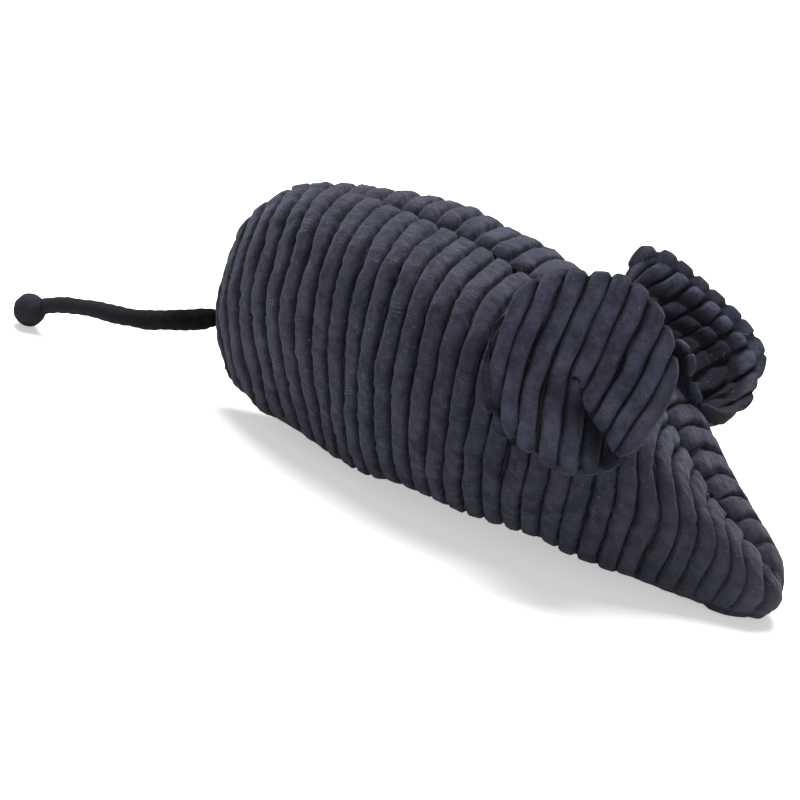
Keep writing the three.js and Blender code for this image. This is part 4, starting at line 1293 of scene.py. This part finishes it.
neck_line = np.linspace(POUCH_MIDDLE, POUCH_MIDDLE - [NECK_X + ROOM, 0, 0], 4)
cord_line = np.linspace(BEND - [0.004, 0, 0], ANCHOR_MIDDLE, 4)
room = pouch_profile(-ROOM, 0.00001)
room[[0, -1], 0] = 0
room_points, room_faces = turned(room, 48)
ball = lumpy_ball(ANCHOR_MIDDLE, lambda ways: ANCHOR_ROOM + 0 * ways[:, 0], 24, 32)[:2]
for name, node, low_x, high_x in (
    ("filling_rear_fibre", "filling_rear", POUCH_MIDDLE[0] - POUCH_FACE, 1.0),
    ("filling_front_fibre", "filling_front", -1.0, POUCH_MIDDLE[0] + POUCH_FACE),
):
    wad = add_object("wad", plain_mesh("wad", *body_core(FIBRE_INSET + ROOM)))
    helpers = [
        press_hollow(wad, *shape) for shape in (
            box_shape((low_x, -1, -1), (high_x, 1, 1)),
            (room_points + POUCH_MIDDLE, room_faces),
            plain_tube(neck_line, NECK_ROOM, 24),
            ball,
            plain_tube(cord_line, CORD_ROOM, 24),
        )
    ]
    points, faces = fibre_skin(wad)
    for helper in (*helpers, wad):
        bpy.data.objects.remove(helper)
    fibre = add_piece(name, points, faces, "mouse_body", [node], STUFFING)

# %% [markdown]
# ## Catnip pouch
# A small bag of undyed cotton holds the dried leaves in the middle of the filling. It is a
# turned profile that runs up the outside, over the gathered mouth and back down the inside, with
# gathers that deepen towards the tied neck. The leaves are one crumbly heap, and the tie is a
# dark thread wound three times round the neck.

# %% Catnip pouch, leaves and tie
outer_line = pouch_profile(0, NECK_RADIUS)
inner_line = pouch_profile(POUCH_COTTON, NECK_RADIUS - POUCH_COTTON)[::-1]
mouth = np.array([
    [NECK_RADIUS * 0.95, -NECK_X + 0.002], [NECK_RADIUS * 1.05, -NECK_X],
    [NECK_RADIUS - POUCH_COTTON, -NECK_X], [NECK_RADIUS - POUCH_COTTON, -NECK_X + 0.002],
])
cotton = np.concatenate([outer_line, mouth, inner_line])
cotton[[0, -1], 0] = 0
HEAP_RADIUS, HEAP_HALF = POUCH_RADIUS - POUCH_COTTON - 0.0004, POUCH_HALF - POUCH_COTTON - 0.0004
CRUMB = 0.0011
TIE_TURNS, TIE_PITCH, TIE_REACH = 3.15, 0.00055, 0.00272
THREAD_RADIUS = 0.00028


def gathers(turn, along):
    """Folds round the bag: 1 plus 14 waves over 5 slower ones, from none at its middle to a
    tenth at its neck."""
    share = smooth_step((-along + 0.004) / 0.016)
    return 1 + share * 0.07 * (np.cos(14 * turn) + 0.4 * np.cos(5 * turn + 1))


def crumbs(ways):
    """An ellipsoid's distance from its middle in each direction, less crumbly dents."""
    plain = 1 / np.sqrt(
        (ways[:, 0] / HEAP_HALF) ** 2 + (ways[:, 1:] ** 2).sum(axis=1) / HEAP_RADIUS**2
    )
    p = ways * plain[:, None] / CRUMB
    dents = ripples(p[:, 0] + p[:, 1], p[:, 2] - p[:, 1], 11) + ripples(p[:, 0], p[:, 1] * 2, 12)
    return plain * (0.955 + 0.02 * np.clip(dents, -1.5, 1.5))


points, faces = turned(cotton, 120, gathers)
pouch = add_piece(
    "catnip_pouch_cotton", points + POUCH_MIDDLE, faces, "mouse_body",
    ["catnip_pouch"], POUCH_CLOTH,
)

points, faces, _ = lumpy_ball(POUCH_MIDDLE, crumbs, 120, 110)
leaves = add_piece("catnip_leaves", points, faces, "mouse_body", ["catnip"], LEAVES)

wind = np.linspace(0, TIE_TURNS * 2 * np.pi, 160)
tie_line = POUCH_MIDDLE - [NECK_X - NECK_LENGTH / 2, 0, 0] + np.stack([
    TIE_PITCH * (wind / (2 * np.pi) - 1.5), TIE_REACH * np.sin(wind), TIE_REACH * np.cos(wind)
], axis=-1)
points, faces = plain_tube(tie_line, THREAD_RADIUS, 10)
add_piece("pouch_tie_thread", points, faces, "mouse_body", ["pouch_tie"], THREAD)

# %% [markdown]
# ## Stitching
# The seams are sewn with a dark thread that dips from panel to panel, just under the valleys
# of the cloth. A lock stitch shows as short dashes, so each line is a thin tube whose middle
# swings from side to side and up and down along the seam. The ear roots are whipped by hand:
# there the thread is a loose helix along the root's line.

# %% Seam threads
STITCH, STITCH_SWING, STITCH_DIP = 0.0026, 0.0004, 0.00022
STITCH_STEP = 0.00032
SEAM_INSET = 0.0014
TAIL_GAP = 0.0036
LEFTWARDS = np.array([0, 1.0, 0])


def stitched(line, sideways, depth):
    """A thread along a seam: the seam's line, moved in by a depth, plus a wave of one stitch's
    length that swings it sideways by the sine and in and out by the cosine."""
    line = through_points(line, 2400)
    inwards = unit(np.cross(unit(np.gradient(line, axis=0)), sideways))
    run = running_lengths(line)
    wave = 2 * np.pi * run / STITCH
    line = line + inwards * (depth + STITCH_DIP * np.cos(wave))[:, None]
    line = line + sideways * (STITCH_SWING * np.sin(wave))[:, None]
    return through_points(line, int(run[-1] / STITCH_STEP))


def seam_arc(s_values, t_values):
    """Places of the middle plane's seam, with y at 0."""
    s, t = np.broadcast_arrays(np.asarray(s_values, float), np.asarray(t_values, float))
    return side_surface(s, t) * [1, 0, 1]


rear = seam_arc(0.0, np.linspace(1, 0, 160))
rear = rear[rear[:, 2] > BEND[2] + TAIL_GAP]
over = seam_arc(np.linspace(0, 1, 200)[1:], 0.0)
front = seam_arc(1.0, np.linspace(0, 1.95, 40)[1:])
rump = seam_arc(0.0, np.linspace(1, 2, 160))
rump = rump[rump[:, 2] < BEND[2] - TAIL_GAP]
below = guide("belly", np.linspace(0, BELLY_START, 20)[1:]) * [1, 0, 1]
belly_line = guide("belly", np.linspace(0.105, 0.965, 120))
for node, line, sideways, depth in (
    ("stitching_back", np.concatenate([rear, over, front]), LEFTWARDS, -SEAM_INSET),
    ("stitching_rump", np.concatenate([rump, below]), -LEFTWARDS, -SEAM_INSET),
    ("stitching_belly_right", belly_line * [1, -1, 1], LEFTWARDS, SEAM_INSET),
    ("stitching_belly_left", belly_line, LEFTWARDS, SEAM_INSET),
):
    points, faces = plain_tube(stitched(line, sideways, depth), THREAD_RADIUS, 6)
    add_piece(f"{node}_thread", points, faces, "mouse_body", [node], THREAD)

# %% [markdown]
# An ear's root is sewn along a short line, which is also the line that the ear folds about.

# %% Ear root stitches
ROOT_HALF, ROOT_LOOPS = 0.0052, 6
LOOP_REACH, LOOP_UNEVEN = 0.00042, 0.00005
ROOT_THREAD_RADIUS = 0.00026
ROOT_LINES = (
    ("ear_right", (0.029275, -0.020997, 0.029773), (0.681604, 0.481132, 0.551297)),
    ("ear_left", (0.023705, 0.014339, 0.040338), (0.828964, 0, -0.559301)),
)

for name, middle, way in ROOT_LINES:
    way = unit(np.array(way, float))
    aside = unit(np.cross(way, [0.0, 0, 1]))
    loop = np.linspace(0, ROOT_LOOPS * 2 * np.pi, 320)
    reach = LOOP_REACH + LOOP_UNEVEN * np.sin(loop * 0.37)
    along = np.linspace(-ROOT_HALF, ROOT_HALF, len(loop))
    line = np.array(middle) + along[:, None] * way + reach[:, None] * (
        np.cos(loop)[:, None] * aside + np.sin(loop)[:, None] * np.cross(way, aside)
    )
    points, faces = plain_tube(line, ROOT_THREAD_RADIUS, 8)
    add_piece(
        f"{name}_root_thread", points, faces, "mouse_body", [f"{name}_root_stitches"],
        THREAD,
    )

# %% [markdown]
# ## Stage
# The picture has a plain white ground. A large floor takes the object's soft shadow and is
# raised to white only for the camera, so no extra light falls on the dark cloth. A big soft
# lamp overhead, a little behind, gives the pale upper edges, and two weak ones fill in the
# front and the rear.

# %% Floor, world and lights
FLOOR_HALF, FLOOR_DEPTH = 3.0, 0.0002
AIM_OF_LAMPS = Vector((0, 0, 0.03))


def white_for_camera(recipe, seen, light):
    """A strength that is one value for camera, glossy and transmission rays and another for
    the light itself."""
    rays = recipe.node("ShaderNodeLightPath").outputs
    direct = recipe.maths("MAXIMUM", rays["Is Camera Ray"], rays["Is Glossy Ray"])
    direct = recipe.maths("MAXIMUM", direct, rays["Is Transmission Ray"])
    return recipe.between(direct, 0.0, 1.0, light, seen)


floor_material, recipe, shader = new_material("white_floor")
dress(recipe, shader, {
    "Base Color": (0.9, 0.9, 0.9),
    "Roughness": 1.0,
    "Specular IOR Level": 0.0,
    "Emission Color": (1, 1, 1),
    "Emission Strength": white_for_camera(recipe, 0.5, 0.0),
})
floor_mesh = bpy.data.meshes.new("floor")
corners = [(x * FLOOR_HALF, y * FLOOR_HALF, 0) for x, y in ((-1, -1), (1, -1), (1, 1), (-1, 1))]
floor_mesh.from_pydata(corners, [], [(0, 1, 2, 3)])
floor_mesh.materials.append(floor_material)
floor = add_object("floor", floor_mesh)
floor.location.z = -FLOOR_DEPTH

world = bpy.data.worlds.new("studio_world")
bpy.context.scene.world = world
world.use_nodes = True
recipe, sky = Recipe(world.node_tree), world.node_tree.nodes["Background"]
recipe.feed(sky.inputs["Color"], (1, 1, 1))
recipe.feed(sky.inputs["Strength"], white_for_camera(recipe, 1.0, 0.13))

for name, place, size, power in (
    ("overhead", (-0.26, 0.3, 0.92), 0.7, 21.5),
    ("front_fill", (0.8, -0.75, 0.4), 0.5, 1.7),
    ("rear_fill", (-1.0, -0.3, 0.45), 0.6, 0.6),
):
    data = bpy.data.lights.new(name, "AREA")
    data.shape, data.size, data.energy = "SQUARE", size, power
    lamp = add_object(name, data)
    lamp.location = place
    lamp.rotation_euler = (AIM_OF_LAMPS - Vector(place)).to_track_quat("-Z", "Y").to_euler()
    print("lamp", name, "at", place, "with", power, "W")
bpy.context.scene.view_settings.view_transform = "Standard"
